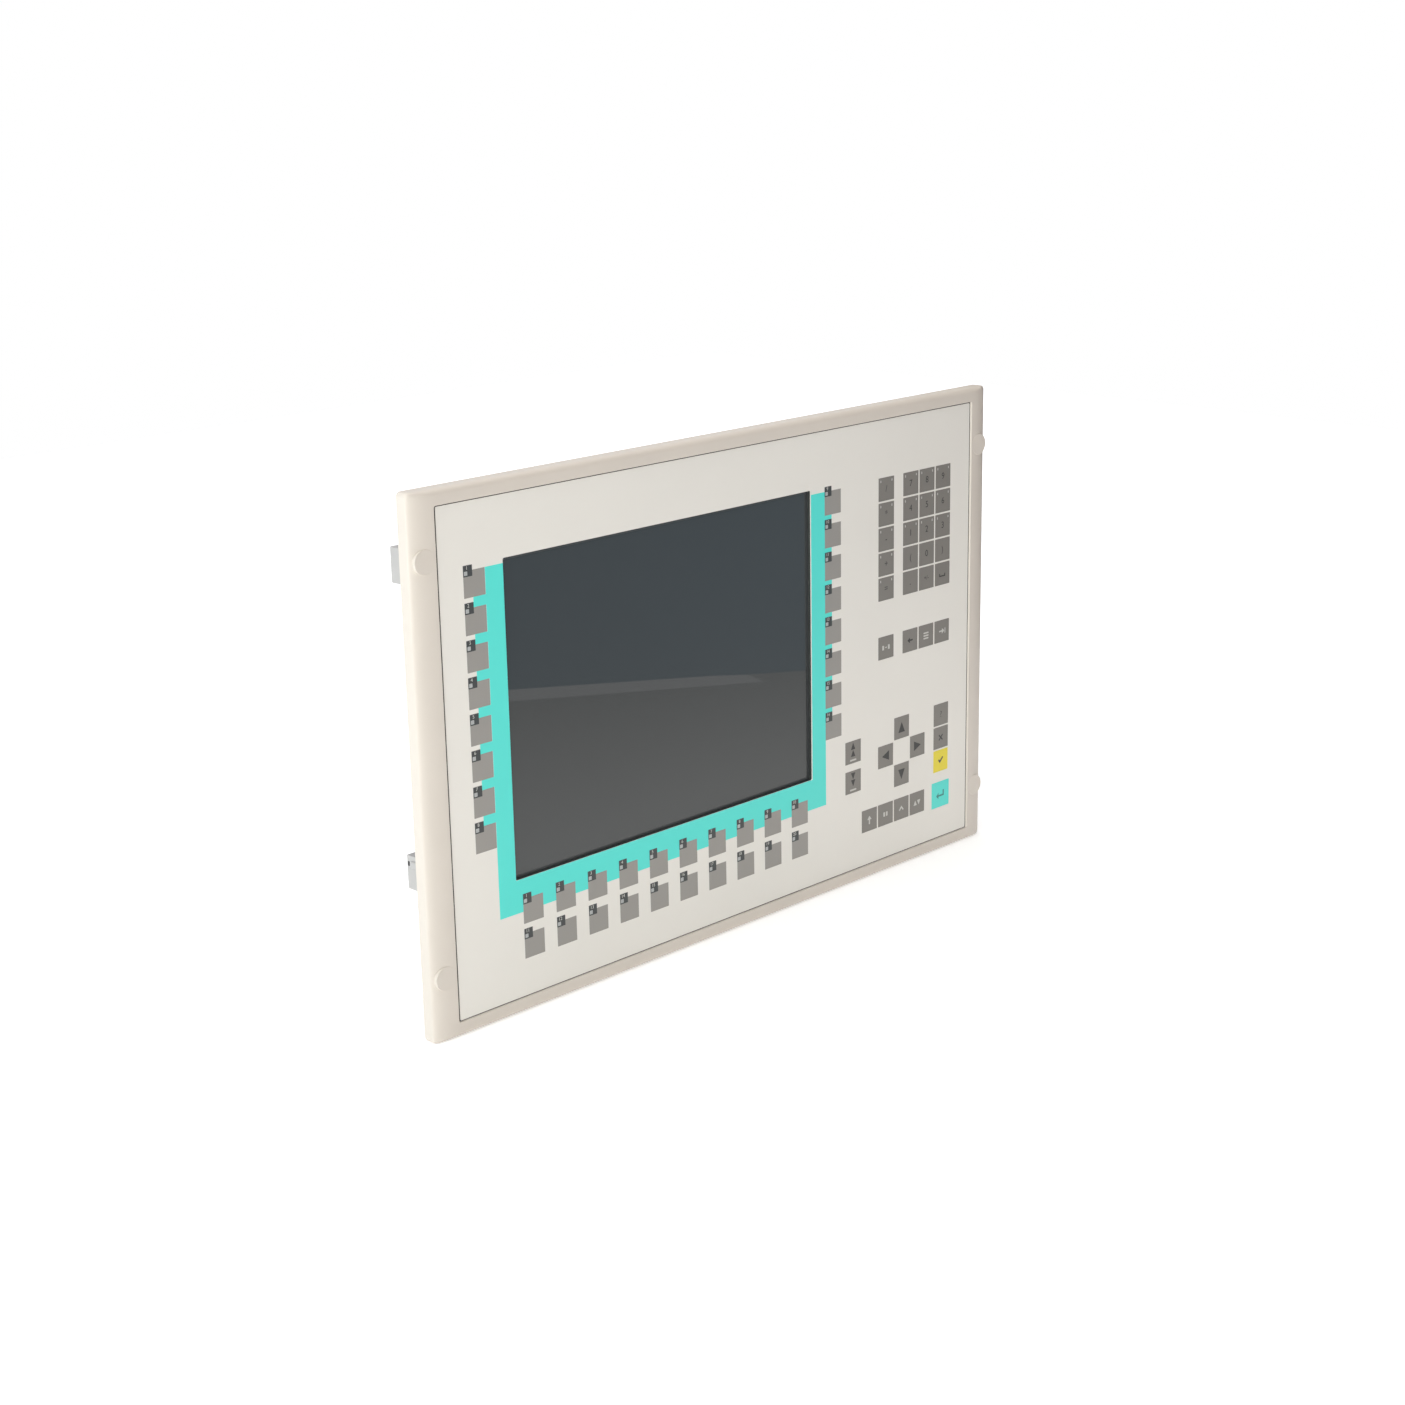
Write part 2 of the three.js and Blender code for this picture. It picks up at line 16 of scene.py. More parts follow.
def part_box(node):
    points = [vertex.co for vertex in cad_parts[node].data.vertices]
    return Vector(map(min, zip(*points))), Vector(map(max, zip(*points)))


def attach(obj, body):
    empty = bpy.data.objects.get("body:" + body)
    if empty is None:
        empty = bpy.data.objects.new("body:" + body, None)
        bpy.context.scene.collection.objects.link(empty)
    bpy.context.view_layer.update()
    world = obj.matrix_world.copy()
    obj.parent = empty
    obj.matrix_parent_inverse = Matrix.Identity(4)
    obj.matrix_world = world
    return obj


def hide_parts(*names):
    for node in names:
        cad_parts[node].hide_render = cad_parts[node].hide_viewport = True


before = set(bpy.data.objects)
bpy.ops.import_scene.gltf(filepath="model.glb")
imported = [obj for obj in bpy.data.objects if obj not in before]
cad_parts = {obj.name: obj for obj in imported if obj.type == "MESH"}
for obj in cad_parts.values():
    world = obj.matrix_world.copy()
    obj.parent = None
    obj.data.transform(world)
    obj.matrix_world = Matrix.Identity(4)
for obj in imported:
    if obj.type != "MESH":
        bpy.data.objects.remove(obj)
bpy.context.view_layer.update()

MM = 0.001
SHARP_ANGLE = 40  # degrees
SAME_PLACE = 1e-7  # metres
QUARTERS = ((-1, -1), (-1, 1), (1, -1), (1, 1))  # the sides, in x and z, of each corner
PANEL = "panel"
FILM_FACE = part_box("front_film")[0].y


def point(x, depth, z):
    return Vector((x * MM, FILM_FACE + depth * MM, z * MM))


class Box:
    """A CAD node's extent at rest, in panel millimetres."""

    def __init__(self, node):
        low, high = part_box(node)
        self.left, self.right = low.x / MM, high.x / MM
        self.bottom, self.top = low.z / MM, high.z / MM
        self.front, self.rear = (low.y - FILM_FACE) / MM, (high.y - FILM_FACE) / MM
        self.x, self.z = (self.left + self.right) / 2, (self.bottom + self.top) / 2
        self.width, self.height = self.right - self.left, self.top - self.bottom
        self.depth = (self.front + self.rear) / 2


# ---- driving sizes ----

FRAME = Box("front_frame")
FILM = Box("front_film")
PANE = Box("display_pane")
TRAY = Box("support_tray")
HOUSING = Box("rear_housing")
COVER = Box("rear_cover")
GASKET = Box("mounting_gasket")

LIP = FRAME.front + 0.05
FLANGE = FRAME.rear
CROWN_START = 3.5
CROWN_SIDE = 15.3
CROWN_TOP = 3.5
FRAME_CORNER = 2.5
BOSS_RADIUS = 7.0
RACK_PITCH_X = 465.1
RACK_PITCH_Z = 234.9
RECESS_WIDTH = 449.6
RECESS_HEIGHT = 292.8
RECESS_FOOT_WIDTH = 448.5  # its walls slope inwards, down to the film
RECESS_FOOT_HEIGHT = 292.3
RECESS_FOOT_DEPTH = 0.15
RECESS_CORNER = 1.3
FOOT_CORNER = 1.1
WEB_FRONT = 0.8
WEB_REAR = 3.3
PANE_PLAY = 1.0  # what an opening has over the part in it, in width and height
TRAY_PLAY = 2.0
GASKET_PLAY = 0.6
KEY_HOLE_PLAY = 0.6
GASKET_BAND = 5.0  # the gasket's own width
SEAT_GAP = 0.3

WINDOW_WIDTH = 247.7
WINDOW_HEIGHT = 185.7
SCREEN_X = PANE.x
SCREEN_Z = PANE.z
LINING_DEPTH = 1.5  # where the window's black lining ends and the grey seal starts

KEY_SIZE = 15.0
CAP_GROWTH = 0.3  # the visible cap over the CAD's, in width and height
CAP_SLIT = 0.12
FIELD_STEP = 0.02  # each printed layer stands this much in front of the one under it
BAND_TOP = 108.0
BAND_LEFT = -191.5
BAND_RIGHT = 82.0
BAND_BOTTOM = -94.8
BAND_GAP = 0.35  # white film left between the window's right edge and the band
RUNG_LEFT = -200.3
RUNG_RIGHT = 88.3
SOFT_X = (-199.15, 89.4)  # centres of the keys beside the window
SOFT_Z = [100.5 - 20.7 * row for row in range(8)]
FUNCTION_X = [-166.75 + 24.87 * column for column in range(10)]  # and of those below it
FUNCTION_Z = (-94.75, -115.85)
CHIP = 6.3  # side of a soft key's dark field
CHIP_RISE = 3.0  # how far it stands out above the key

VENT_COLUMNS = (-130, -44, 44, 130)
VENT_ROWS = 12
VENT_PITCH = 8
VENT_LENGTH = 46
VENT_HEIGHT = 3.6
FOOT_ROWS = (-96, 0, 96)

CLAMP_INNER = 221.8
CLAMP_OUTER = 232.0
CLAMP_REACH = 1.5  # how far its casting goes behind the CAD's
CLAMP_BORE = 2.35  # radius
CLAMP_SLOT_HEIGHT = 12
TONGUE_HEIGHT = 11.4
TONGUE_REAR = 23.7

# ---- materials ----


def colour(red, green, blue):
    """The shader's linear colour for one as it looks on a screen, 0 to 255."""

    def linear(value):
        value /= 255
        return value / 12.92 if value <= 0.04045 else ((value + 0.055) / 1.055) ** 2.4

    return (linear(red), linear(green), linear(blue), 1.0)


TURQUOISE = colour(78, 223, 212)


def tree_node(tree, kind, **inputs):
    """A new node of a shader tree, with some of its inputs set."""
    made = tree.nodes.new("ShaderNode" + kind)
    for name, value in inputs.items():
        made.inputs[name].default_value = value
    return made


class Shader:
    """A node material with a Principled shader and a few helpers to drive it."""

    def __init__(self, name, base, roughness, metallic=0.0):
        self.material = bpy.data.materials.new(name)
        self.material.use_nodes = True
        self.material.diffuse_color = base
        self.tree = self.material.node_tree
        self.shader = self.tree.nodes["Principled BSDF"]
        self.set({"Base Color": base, "Roughness": roughness, "Metallic": metallic})
        self.base, self.roughness = base, roughness
        self.coordinates = tree_node(self.tree, "TexCoord").outputs["Object"]

    def set(self, values):
        for socket, value in values.items():
            self.shader.inputs[socket].default_value = value

    def noise(self, scale, detail=3.0, roughness=0.5, stretch=(1, 1, 1)):
        mapping = tree_node(self.tree, "Mapping", Scale=stretch)
        texture = tree_node(self.tree, "TexNoise", Scale=scale, Detail=detail, Roughness=roughness)
        self.tree.links.new(self.coordinates, mapping.inputs["Vector"])
        self.tree.links.new(mapping.outputs["Vector"], texture.inputs["Vector"])
        return texture.outputs["Fac"]

    def cells(self, scale):
        texture = tree_node(self.tree, "TexVoronoi", Scale=scale)
        self.tree.links.new(self.coordinates, texture.inputs["Vector"])
        return texture.outputs["Color"]

    def ramp(self, factor, low, high):
        """Spreads the middle of a texture's range, where most of its values lie."""
        node = tree_node(self.tree, "ValToRGB")
        ends = ((0.3, low), (0.7, high))
        for element, (position, tone) in zip(node.color_ramp.elements, ends):
            element.position, element.color = position, tone
        self.tree.links.new(factor, node.inputs["Fac"])
        return node.outputs["Color"]

    def vary_colour(self, factor, amount):
        """Lets the base colour drift by a fraction to either side."""
        low, high = (
            tuple(min(1.0, c * share) for c in self.base[:3]) + (1,)
            for share in (1 - amount, 1 + amount)
        )
        self.tree.links.new(self.ramp(factor, low, high), self.shader.inputs["Base Color"])

    def vary_roughness(self, factor, amount):
        low = max(0.0, self.roughness - amount)
        high = min(1.0, self.roughness + amount)
        output = self.ramp(factor, (low, low, low, 1), (high, high, high, 1))
        self.tree.links.new(output, self.shader.inputs["Roughness"])

    def bump(self, factor, strength, height_mm):
        node = tree_node(self.tree, "Bump", Strength=strength, Distance=height_mm * MM)
        self.tree.links.new(factor, node.inputs["Height"])
        self.tree.links.new(node.outputs["Normal"], self.shader.inputs["Normal"])


def moulded(name, base, roughness, grain=900, relief=0.02):
    """Moulded or painted plastic: a fine orange peel, and a slow drift of tone and gloss."""
    shader = Shader(name, base, roughness)
    shader.vary_colour(shader.noise(14, 4), 0.018)
    shader.vary_roughness(shader.noise(60, 3), 0.05)
    shader.bump(shader.noise(grain, 2), 0.35, relief)
    return shader.material


def printed(name, base, roughness=0.38):
    """Ink behind a satin film: the film's fine tooth over an even colour."""
    shader = Shader(name, base, roughness)
    shader.vary_colour(shader.noise(9, 3), 0.012)
    shader.vary_roughness(shader.noise(240, 2), 0.04)
    shader.bump(shader.noise(3200, 2, 0.6), 0.25, 0.01)
    return shader.material


def zinc_sheet(name, base, brushed):
    """Zinc-plated sheet: rolling streaks, faint crystals and a cloudy gloss."""
    shader = Shader(name, base, 0.38, metallic=0.85)
    shader.vary_colour(shader.noise(30, 5, 0.6, brushed), 0.09)
    shader.vary_roughness(shader.cells(120), 0.07)
    shader.bump(shader.noise(420, 3, 0.6, brushed), 0.25, 0.015)
    return shader.material


def bright_metal(name, base, roughness):
    """Bare metal with a slightly uneven polish."""
    shader = Shader(name, base, roughness, metallic=1.0)
    shader.vary_colour(shader.noise(200, 3), 0.06)
    shader.vary_roughness(shader.noise(500, 3), 0.06)
    return shader.material


def soft_rubber(name, base):
    """Matt rubber with a coarse grain."""
    shader = Shader(name, base, 0.8)
    shader.vary_colour(shader.noise(120, 3), 0.15)
    shader.bump(shader.noise(1800, 3), 0.6, 0.08)
    return shader.material


def circuit_board(name):
    """Green solder mask over copper: paths show as slightly lighter bands."""
    shader = Shader(name, colour(34, 88, 56), 0.35)
    shader.vary_colour(shader.cells(380), 0.28)
    shader.bump(shader.cells(380), 0.3, 0.03)
    return shader.material


def display_glass(name):
    """Smoked protective glass over a dark display: deep tone, polished face, faint wipe marks."""
    shader = Shader(name, colour(38, 41, 42), 0.32)
    shader.vary_colour(shader.noise(7, 3), 0.06)
    polish = {"Coat Weight": 1, "Coat Roughness": 0.015, "Coat IOR": 1.52}
    shader.set(polish | {"Specular IOR Level": 0.2})
    return shader.material


FRAME_PLASTIC = moulded("frame_plastic", colour(213, 204, 194), 0.48, 700, 0.025)
FILM_WHITE = printed("film_white", colour(230, 226, 219))
BAND_INK = printed("band_turquoise", TURQUOISE)
SOFT_INK = printed("soft_key_grey", colour(149, 145, 140))
KEY_INK = printed("key_grey", colour(127, 122, 116))
YELLOW_INK = printed("key_yellow", colour(231, 212, 40))
ENTER_INK = printed("key_turquoise", TURQUOISE)
CHIP_INK = printed("chip_dark", colour(58, 60, 61))
DARK_INK = printed("legend_dark", colour(52, 50, 48))
TEAL_INK = printed("legend_teal", colour(48, 134, 127))
LIGHT_INK = printed("legend_light", colour(196, 194, 188))
LAMP_LENS = printed("lamp_lens", colour(178, 180, 180), 0.25)
GLASS = display_glass("display_glass")
# Painted shade: a near-black fill that stands for the shade in the gap round the film.
GAP_SHADE = moulded("painted_gap_shade", colour(32, 29, 27), 0.6)
BLACK_EDGE = moulded("black_edge", colour(54, 58, 59), 0.55)
GREY_EDGE = bright_metal("grey_edge", colour(120, 122, 121), 0.45)
ZINC = zinc_sheet("zinc_sheet", colour(182, 183, 181), (1, 6, 1))
COVER_ZINC = zinc_sheet("cover_zinc", colour(176, 177, 176), (1, 1, 7))
RUBBER = soft_rubber("gasket_rubber", colour(38, 39, 42))
CASTING = moulded("clamp_casting", colour(176, 173, 171), 0.42, 500, 0.05)
STEEL = bright_metal("screw_steel", colour(186, 188, 190), 0.28)
BOARD = circuit_board("circuit_board")
PLATED = moulded("plated_steel", colour(204, 201, 199), 0.4, 500, 0.01)
TERMINAL = moulded("terminal_green", colour(61, 140, 82), 0.42)
PORT_PLASTIC = moulded("port_black", colour(30, 31, 33), 0.45)
GOLD = bright_metal("contact_gold", colour(214, 176, 98), 0.2)

# ---- mesh helpers ----


def rectangle(x, z, width, height, corner, steps=6):
    """Points round a rectangle with round corners, starting at the right of the top right one."""
    points = []
    for quarter, (side_x, side_z) in enumerate(((1, 1), (-1, 1), (-1, -1), (1, -1))):
        centre_x = x + side_x * (width / 2 - corner)
        centre_z = z + side_z * (height / 2 - corner)
        for step in range(steps + 1):
            angle = (quarter + step / steps) * math.pi / 2
            points.append(
                (centre_x + corner * math.cos(angle), centre_z + corner * math.sin(angle))
            )
    return points


def quarter_turn(steps):
    """Sine and cosine at even steps through a quarter turn."""
    angles = [step / steps * math.pi / 2 for step in range(steps + 1)]
    return [(math.sin(angle), math.cos(angle)) for angle in angles]


def mesh_from(name, made):
    """The finished mesh of a bmesh, which is used up."""
    mesh = bpy.data.meshes.new(name)
    made.to_mesh(mesh)
    made.free()
    return mesh


def linked(name, data):
    """A new object in the scene."""
    made = bpy.data.objects.new(name, data)
    bpy.context.scene.collection.objects.link(made)
    return made


def mesh_object(name, mesh, material):
    """An object of one material, smooth except where its faces meet at a sharp angle."""
    mesh.name = name
    mesh.materials.append(material)
    for polygon in mesh.polygons:
        polygon.use_smooth = True
    mesh.set_sharp_from_angle(angle=math.radians(SHARP_ANGLE))
    return linked(name, mesh)


def with_modifiers(made):
    """Applies the object's modifiers to its mesh."""
    depsgraph = bpy.context.evaluated_depsgraph_get()
    mesh = bpy.data.meshes.new_from_object(made.evaluated_get(depsgraph))
    old = made.data
    made.modifiers.clear()
    made.data = mesh
    bpy.data.meshes.remove(old)
    return made


def piece(made, body=PANEL, replaces=()):
    """Attaches an object to its body and hides the parts it replaces. Its large flat faces stay
    flat in the shading beside small bevels.
    """
    made.modifiers.new("weights", "WEIGHTED_NORMAL").keep_sharp = True
    with_modifiers(made)
    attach(made, body)
    if replaces:
        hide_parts(*replaces)


def loft(name, rows, material, closed=False):
    """A skin through rows of places of equal count. A closed one is a ring all round."""
    made = bmesh.new()
    rows = [[made.verts.new(place) for place in row] for row in rows]
    pairs = list(zip(rows, rows[1:]))
    if closed:
        pairs.append((rows[-1], rows[0]))
    for near, far in pairs:
        count = len(near)
        for index in range(count):
            after = (index + 1) % count
            made.faces.new((near[index], near[after], far[after], far[index]))
    if not closed:
        made.faces.new(rows[0])
        made.faces.new(rows[-1][::-1])
    bmesh.ops.recalc_face_normals(made, faces=made.faces)
    return mesh_object(name, mesh_from(name, made), material)


def ring_loft(name, rings, material, closed=False):
    """A skin through (outline, depth) rings."""
    rows = [[point(x, depth, z) for x, z in outline] for outline, depth in rings]
    return loft(name, rows, material, closed)


def encloses(outline, place):
    """Whether an outline goes round a place: an odd number of its sides lie to the right."""
    inside = False
    for (x0, z0), (x1, z1) in zip(outline, outline[1:] + outline[:1]):
        if (z0 > place.y) != (z1 > place.y):
            inside ^= place.x < x0 + (x1 - x0) * (place.y - z0) / (z1 - z0)
    return inside


def bevel_edges(made, edges, width, segments):
    if width:
        size = {"offset": width * MM, "segments": segments, "profile": 0.5}
        bmesh.ops.bevel(made, geom=edges, affect="EDGES", **size)


def sheet(name, outlines, front, rear, material, bevel=0.0):
    """A flat sheet between two depths: the first outline is its edge, the others are holes."""
    corners, borders = [], []
    for outline in outlines:
        first, count = len(corners), len(outline)
        corners += [Vector(corner) for corner in outline]
        borders += [(first + index, first + (index + 1) % count) for index in range(count)]
    places, _, triangles, *_ = delaunay_2d_cdt(corners, borders, [], 0, 1e-6)
    made = bmesh.new()
    near = [made.verts.new(point(x, front, z)) for x, z in places]
    for triangle in triangles:
        middle = sum((places[index] for index in triangle), Vector((0, 0))) / 3
        if sum(encloses(outline, middle) for outline in outlines) % 2:
            made.faces.new([near[index] for index in triangle])
    rims = [edge for edge in made.edges if edge.is_boundary]
    shift = Vector((0, (rear - front) * MM, 0))
    copied = bmesh.ops.duplicate(made, geom=made.verts[:] + made.edges[:] + made.faces[:])
    twin = {vertex: copied["vert_map"][vertex] for vertex in near}
    for vertex in twin.values():
        vertex.co += shift
    for edge in rims:
        a, b = edge.verts
        made.faces.new((a, b, twin[b], twin[a]))
    bmesh.ops.recalc_face_normals(made, faces=made.faces)
    bevel_edges(made, rims, bevel, 2)
    return mesh_object(name, mesh_from(name, made), material)


def joined(name, objects):
    """One object of several, each keeping its own material."""
    made = bmesh.new()
    materials = []
    for source in objects:
        start = len(made.faces)
        slots = []
        for material in source.data.materials:
            if material not in materials:
                materials.append(material)
            slots.append(materials.index(material))
        made.from_mesh(source.data)
        made.faces.ensure_lookup_table()
        for face in made.faces[start:]:
            face.material_index = slots[face.material_index]
    mesh = mesh_from(name, made)
    for material in materials:
        mesh.materials.append(material)
    for source in objects:
        data = source.data
        bpy.data.objects.remove(source)
        bpy.data.meshes.remove(data)
    return linked(name, mesh)


def text(name, body, x, z, size, front, material):
    """Printed digits or signs, centred, standing one printed layer in front of a face."""
    curve = bpy.data.curves.new(name, "FONT")
    curve.body = body
    curve.size = size * MM
    curve.align_x = "CENTER"
    curve.align_y = "CENTER"
    curve.resolution_u = 3
    curve.extrude = FIELD_STEP * MM
    drawn = linked(name, curve)
    depsgraph = bpy.context.evaluated_depsgraph_get()
    mesh = bpy.data.meshes.new_from_object(drawn.evaluated_get(depsgraph))
    bpy.data.objects.remove(drawn)
    bpy.data.curves.remove(curve)
    merged = bmesh.new()
    merged.from_mesh(mesh)
    bmesh.ops.remove_doubles(merged, verts=merged.verts, dist=SAME_PLACE)
    merged.to_mesh(mesh)
    merged.free()
    mesh.materials.clear()
    upright = Matrix.Rotation(math.pi / 2, 4, "X")
    mesh.transform(Matrix.Translation(point(x, front, z)) @ upright)
    return mesh_object(name, mesh, material)


def subtract(made, cutters):
    """Cuts a closed object with others, which are used up."""
    cutter = joined(made.name + "_cutter", cutters)
    modifier = made.modifiers.new("cut", "BOOLEAN")
    modifier.operation = "DIFFERENCE"
    modifier.solver = "EXACT"
    modifier.use_self = True
    modifier.object = cutter
    with_modifiers(made)
    bpy.data.objects.remove(cutter)
    return made


def block(name, x, z, width, height, front, rear, material, bevel=0.2):
    """A box with rounded edges."""
    made = bmesh.new()
    bmesh.ops.create_cube(made, size=1)
    for vertex in made.verts:
        vertex.co = point(
            x + vertex.co.x * width,
            (front + rear) / 2 + vertex.co.y * (rear - front),
            z + vertex.co.z * height,
        )
    bevel_edges(made, made.edges[:], bevel, 3)
    return mesh_object(name, mesh_from(name, made), material)


# ---- front frame ----


def front_frame(key_boxes):
    """The moulding's section, followed all the way round, then cut for the keys."""
    edge = 0.5
    lip_edge = 0.25
    tray_width, tray_height = TRAY.width + TRAY_PLAY, TRAY.height + TRAY_PLAY
    groove_width, groove_height = GASKET.width + GASKET_PLAY, GASKET.height + GASKET_PLAY
    land_width, land_height = groove_width - 2 * GASKET_BAND, groove_height - 2 * GASKET_BAND
    seat, groove = PANE.front - SEAT_GAP, GASKET.front - SEAT_GAP
    rings = []

    def wall(width, height, corner, *depths, x=0.0, z=0.0):
        """A part of the section where the outline stays the same from depth to depth."""
        outline = rectangle(x, z, width, height, corner)
        rings.extend((outline, depth) for depth in depths)

    wall(FRAME.width, FRAME.height, FRAME_CORNER, FLANGE - edge)
    for sine, cosine in quarter_turn(14):
        width = FRAME.width - 2 * CROWN_SIDE * (1 - cosine)
        height = FRAME.height - 2 * CROWN_TOP * (1 - cosine)
        wall(width, height, FRAME_CORNER, CROWN_START + (LIP - CROWN_START) * sine)
    for sine, cosine in quarter_turn(3):
        grow = 2 * lip_edge * (1 - sine)
        depth = LIP + lip_edge * (1 - cosine)
        wall(RECESS_WIDTH + grow, RECESS_HEIGHT + grow, RECESS_CORNER, depth)
    wall(RECESS_FOOT_WIDTH, RECESS_FOOT_HEIGHT, FOOT_CORNER, RECESS_FOOT_DEPTH, WEB_FRONT)
    wall(WINDOW_WIDTH, WINDOW_HEIGHT, 1, WEB_FRONT, seat, x=SCREEN_X, z=SCREEN_Z)
    wall(PANE.width + PANE_PLAY, PANE.height + PANE_PLAY, 2, seat, WEB_REAR, x=SCREEN_X, z=SCREEN_Z)
    wall(tray_width, tray_height, 3, WEB_REAR, FLANGE - edge)
    wall(tray_width + 2 * edge, tray_height + 2 * edge, 3, FLANGE)
    wall(land_width, land_height, 1, FLANGE, groove)
    wall(groove_width, groove_height, 1, groove, FLANGE)
    wall(FRAME.width - 2 * edge, FRAME.height - 2 * edge, FRAME_CORNER, FLANGE)
    body = ring_loft("front_frame_shell", rings, FRAME_PLASTIC, closed=True)
    cutters = []
    for key in key_boxes:
        width, height = key.width + KEY_HOLE_PLAY, key.height + KEY_HOLE_PLAY
        cutters.append(block("key_hole", key.x, key.z, width, height, -3, 6, FRAME_PLASTIC, 0))
    subtract(body, cutters)
    piece(body, replaces=["front_frame"])


def rack_bosses():
    """Closed round bosses whose faces lie flush with the frame's flat front."""
    edge = 0.3
    profile = [(BOSS_RADIUS, CROWN_START + 1)]
    for sine, cosine in quarter_turn(4):
        radius = BOSS_RADIUS - edge * (1 - cosine)
        profile.append((radius, FRAME.front + edge * (1 - sine)))
    bosses = []
    for side_x, side_z in QUARTERS:
        x, z = side_x * RACK_PITCH_X / 2, side_z * RACK_PITCH_Z / 2
        bosses.append(turned_part("rack_boss", x, z, profile, FRAME_PLASTIC, 40))
    piece(joined("rack_bosses", bosses))


# ---- film and its printed fields ----


def window_outline(margin=0.0):
    width, height = WINDOW_WIDTH + 2 * margin, WINDOW_HEIGHT + 2 * margin
    return rectangle(SCREEN_X, SCREEN_Z, width, height, 1.0)


def front_film(key_boxes):
    """One sheet with the window cut out, and a hole that each key's cap fills."""
    outlines = [rectangle(0, 0, FILM.width, FILM.height, 0.9), window_outline()]
    for key in key_boxes:
        side = key.width + CAP_GROWTH + CAP_SLIT
        outlines.append(rectangle(key.x, key.z, side, side, 0.3, 2))
    made = sheet("front_film_sheet", outlines, 0, FILM.rear, FILM_WHITE, 0.04)
    piece(made, replaces=["front_film"])


def film_bead():
    """A near-black fill in the gap between film and frame, as painted shade of that gap."""
    gap = 0.04
    outer = rectangle(0, 0, RECESS_FOOT_WIDTH - gap, RECESS_FOOT_HEIGHT - gap, FOOT_CORNER)
    inner = rectangle(0, 0, FILM.width + gap, FILM.height + gap, 0.92)
    made = sheet("painted_gap_shade", [outer, inner], 0.12, 0.78, GAP_SHADE)
    piece(made)


def band_outline():
    """The turquoise band below and beside the window, with a rung into each gap between keys."""
    half = KEY_SIZE / 2
    gaps = [(upper - half, lower + half) for upper, lower in zip(SOFT_Z, SOFT_Z[1:])]
    window_left, window_right = SCREEN_X - WINDOW_WIDTH / 2, SCREEN_X + WINDOW_WIDTH / 2
    window_bottom = SCREEN_Z - WINDOW_HEIGHT / 2
    edge = 0.03
    points = [(window_left - edge, BAND_TOP), (BAND_LEFT, BAND_TOP)]
    for top, bottom in gaps:
        points += [(BAND_LEFT, top), (RUNG_LEFT, top), (RUNG_LEFT, bottom), (BAND_LEFT, bottom)]
    points += [(BAND_LEFT, BAND_BOTTOM), (BAND_RIGHT, BAND_BOTTOM)]
    for top, bottom in reversed(gaps):
        points += [(BAND_RIGHT, bottom), (RUNG_RIGHT, bottom), (RUNG_RIGHT, top), (BAND_RIGHT, top)]
    points += [(BAND_RIGHT, BAND_TOP), (window_right + BAND_GAP, BAND_TOP)]
    points.append((window_right + BAND_GAP, window_bottom - edge))
    points.append((window_left - edge, window_bottom - edge))
    return points


def printed_layer(name, outlines, layer, material):
    """Separate printed fields at one height above the film, as one piece."""
    front = -layer * FIELD_STEP
    fields = [sheet(name, [outline], front, FILM.rear / 2, material) for outline in outlines]
    piece(joined(name, fields))


def soft_key_places():
    """Centre and number of each of the soft keys beside and below the display."""
    beside = [(x, z) for x in SOFT_X for z in SOFT_Z]
    below = [(x, z) for z in FUNCTION_Z for x in FUNCTION_X]
    return [(x, z, number) for keys in (beside, below) for number, (x, z) in enumerate(keys, 1)]


def soft_keys():
    """Grey fields, each with a dark one over its upper left corner for its number and lamp."""
    places = soft_key_places()
    half = KEY_SIZE / 2
    chips = [(x - half + CHIP / 2, z + half + CHIP_RISE - CHIP / 2) for x, z, _ in places]
    squares = [rectangle(x, z, KEY_SIZE, KEY_SIZE, 0.15, 1) for x, z, _ in places]
    printed_layer("soft_key_fields", squares, 2, SOFT_INK)
    squares = [rectangle(x, z, CHIP, CHIP, 0.15, 1) for x, z in chips]
    printed_layer("number_fields", squares, 3, CHIP_INK)
    squares = [rectangle(x - 1.4, z - 1.3, 2.3, 2.3, 0.2, 1) for x, z in chips]
    printed_layer("lamp_windows", squares, 4, LAMP_LENS)
    front = -3.5 * FIELD_STEP
    numbers = [
        text("number", str(number), x - 0.6, z + 1.6, 2.9, front, LIGHT_INK)
        for (x, z), (_, _, number) in zip(chips, places)
    ]
    piece(joined("soft_key_numbers", numbers))


# ---- system keys ----


def polygon(points, scale=1.0, x=0.0, z=0.0):
    return [(x + px * scale, z + pz * scale) for px, pz in points]


def turned(points, quarters):
    """Points turned by quarter turns, anticlockwise as the operator sees them."""
    for _ in range(quarters % 4):
        points = [(-pz, px) for px, pz in points]
    return points


def bar(x, z, width, height):
    return rectangle(x, z, width, height, 0.1, 1)


HEAD = [(-3.3, -3.4), (3.3, -3.4), (0, 3.6)]
SMALL_HEAD = [(-2.1, -2.2), (2.1, -2.2), (0, 2.3)]
SHAFTED = [(-0.5, -2.6), (0.5, -2.6), (0.5, 0.2), (1.9, 0.2), (0, 2.6), (-1.9, 0.2), (-0.5, 0.2)]
RETURN_ARROW = [
    (-4.2, -1.0), (-1.8, 1.2), (-1.8, -0.4), (2.6, -0.4), (2.6, 2.6),
    (3.8, 2.6), (3.8, -1.6), (-1.8, -1.6), (-1.8, -3.2),
]
TICK = [(-2.6, 0.2), (-1.7, 1.1), (-0.7, 0.1), (2.0, 2.6), (2.8, 1.7), (-0.7, -1.8)]
CROSS = [
    (-2.2, -1.5), (-1.5, -2.2), (0, -0.7), (1.5, -2.2), (2.2, -1.5), (0.7, 0),
    (2.2, 1.5), (1.5, 2.2), (0, 0.7), (-1.5, 2.2), (-2.2, 1.5), (-0.7, 0),
]
CHEVRON = [(-2.4, -1.0), (-1.6, -1.6), (0, 0.3), (1.6, -1.6), (2.4, -1.0), (0, 1.8)]

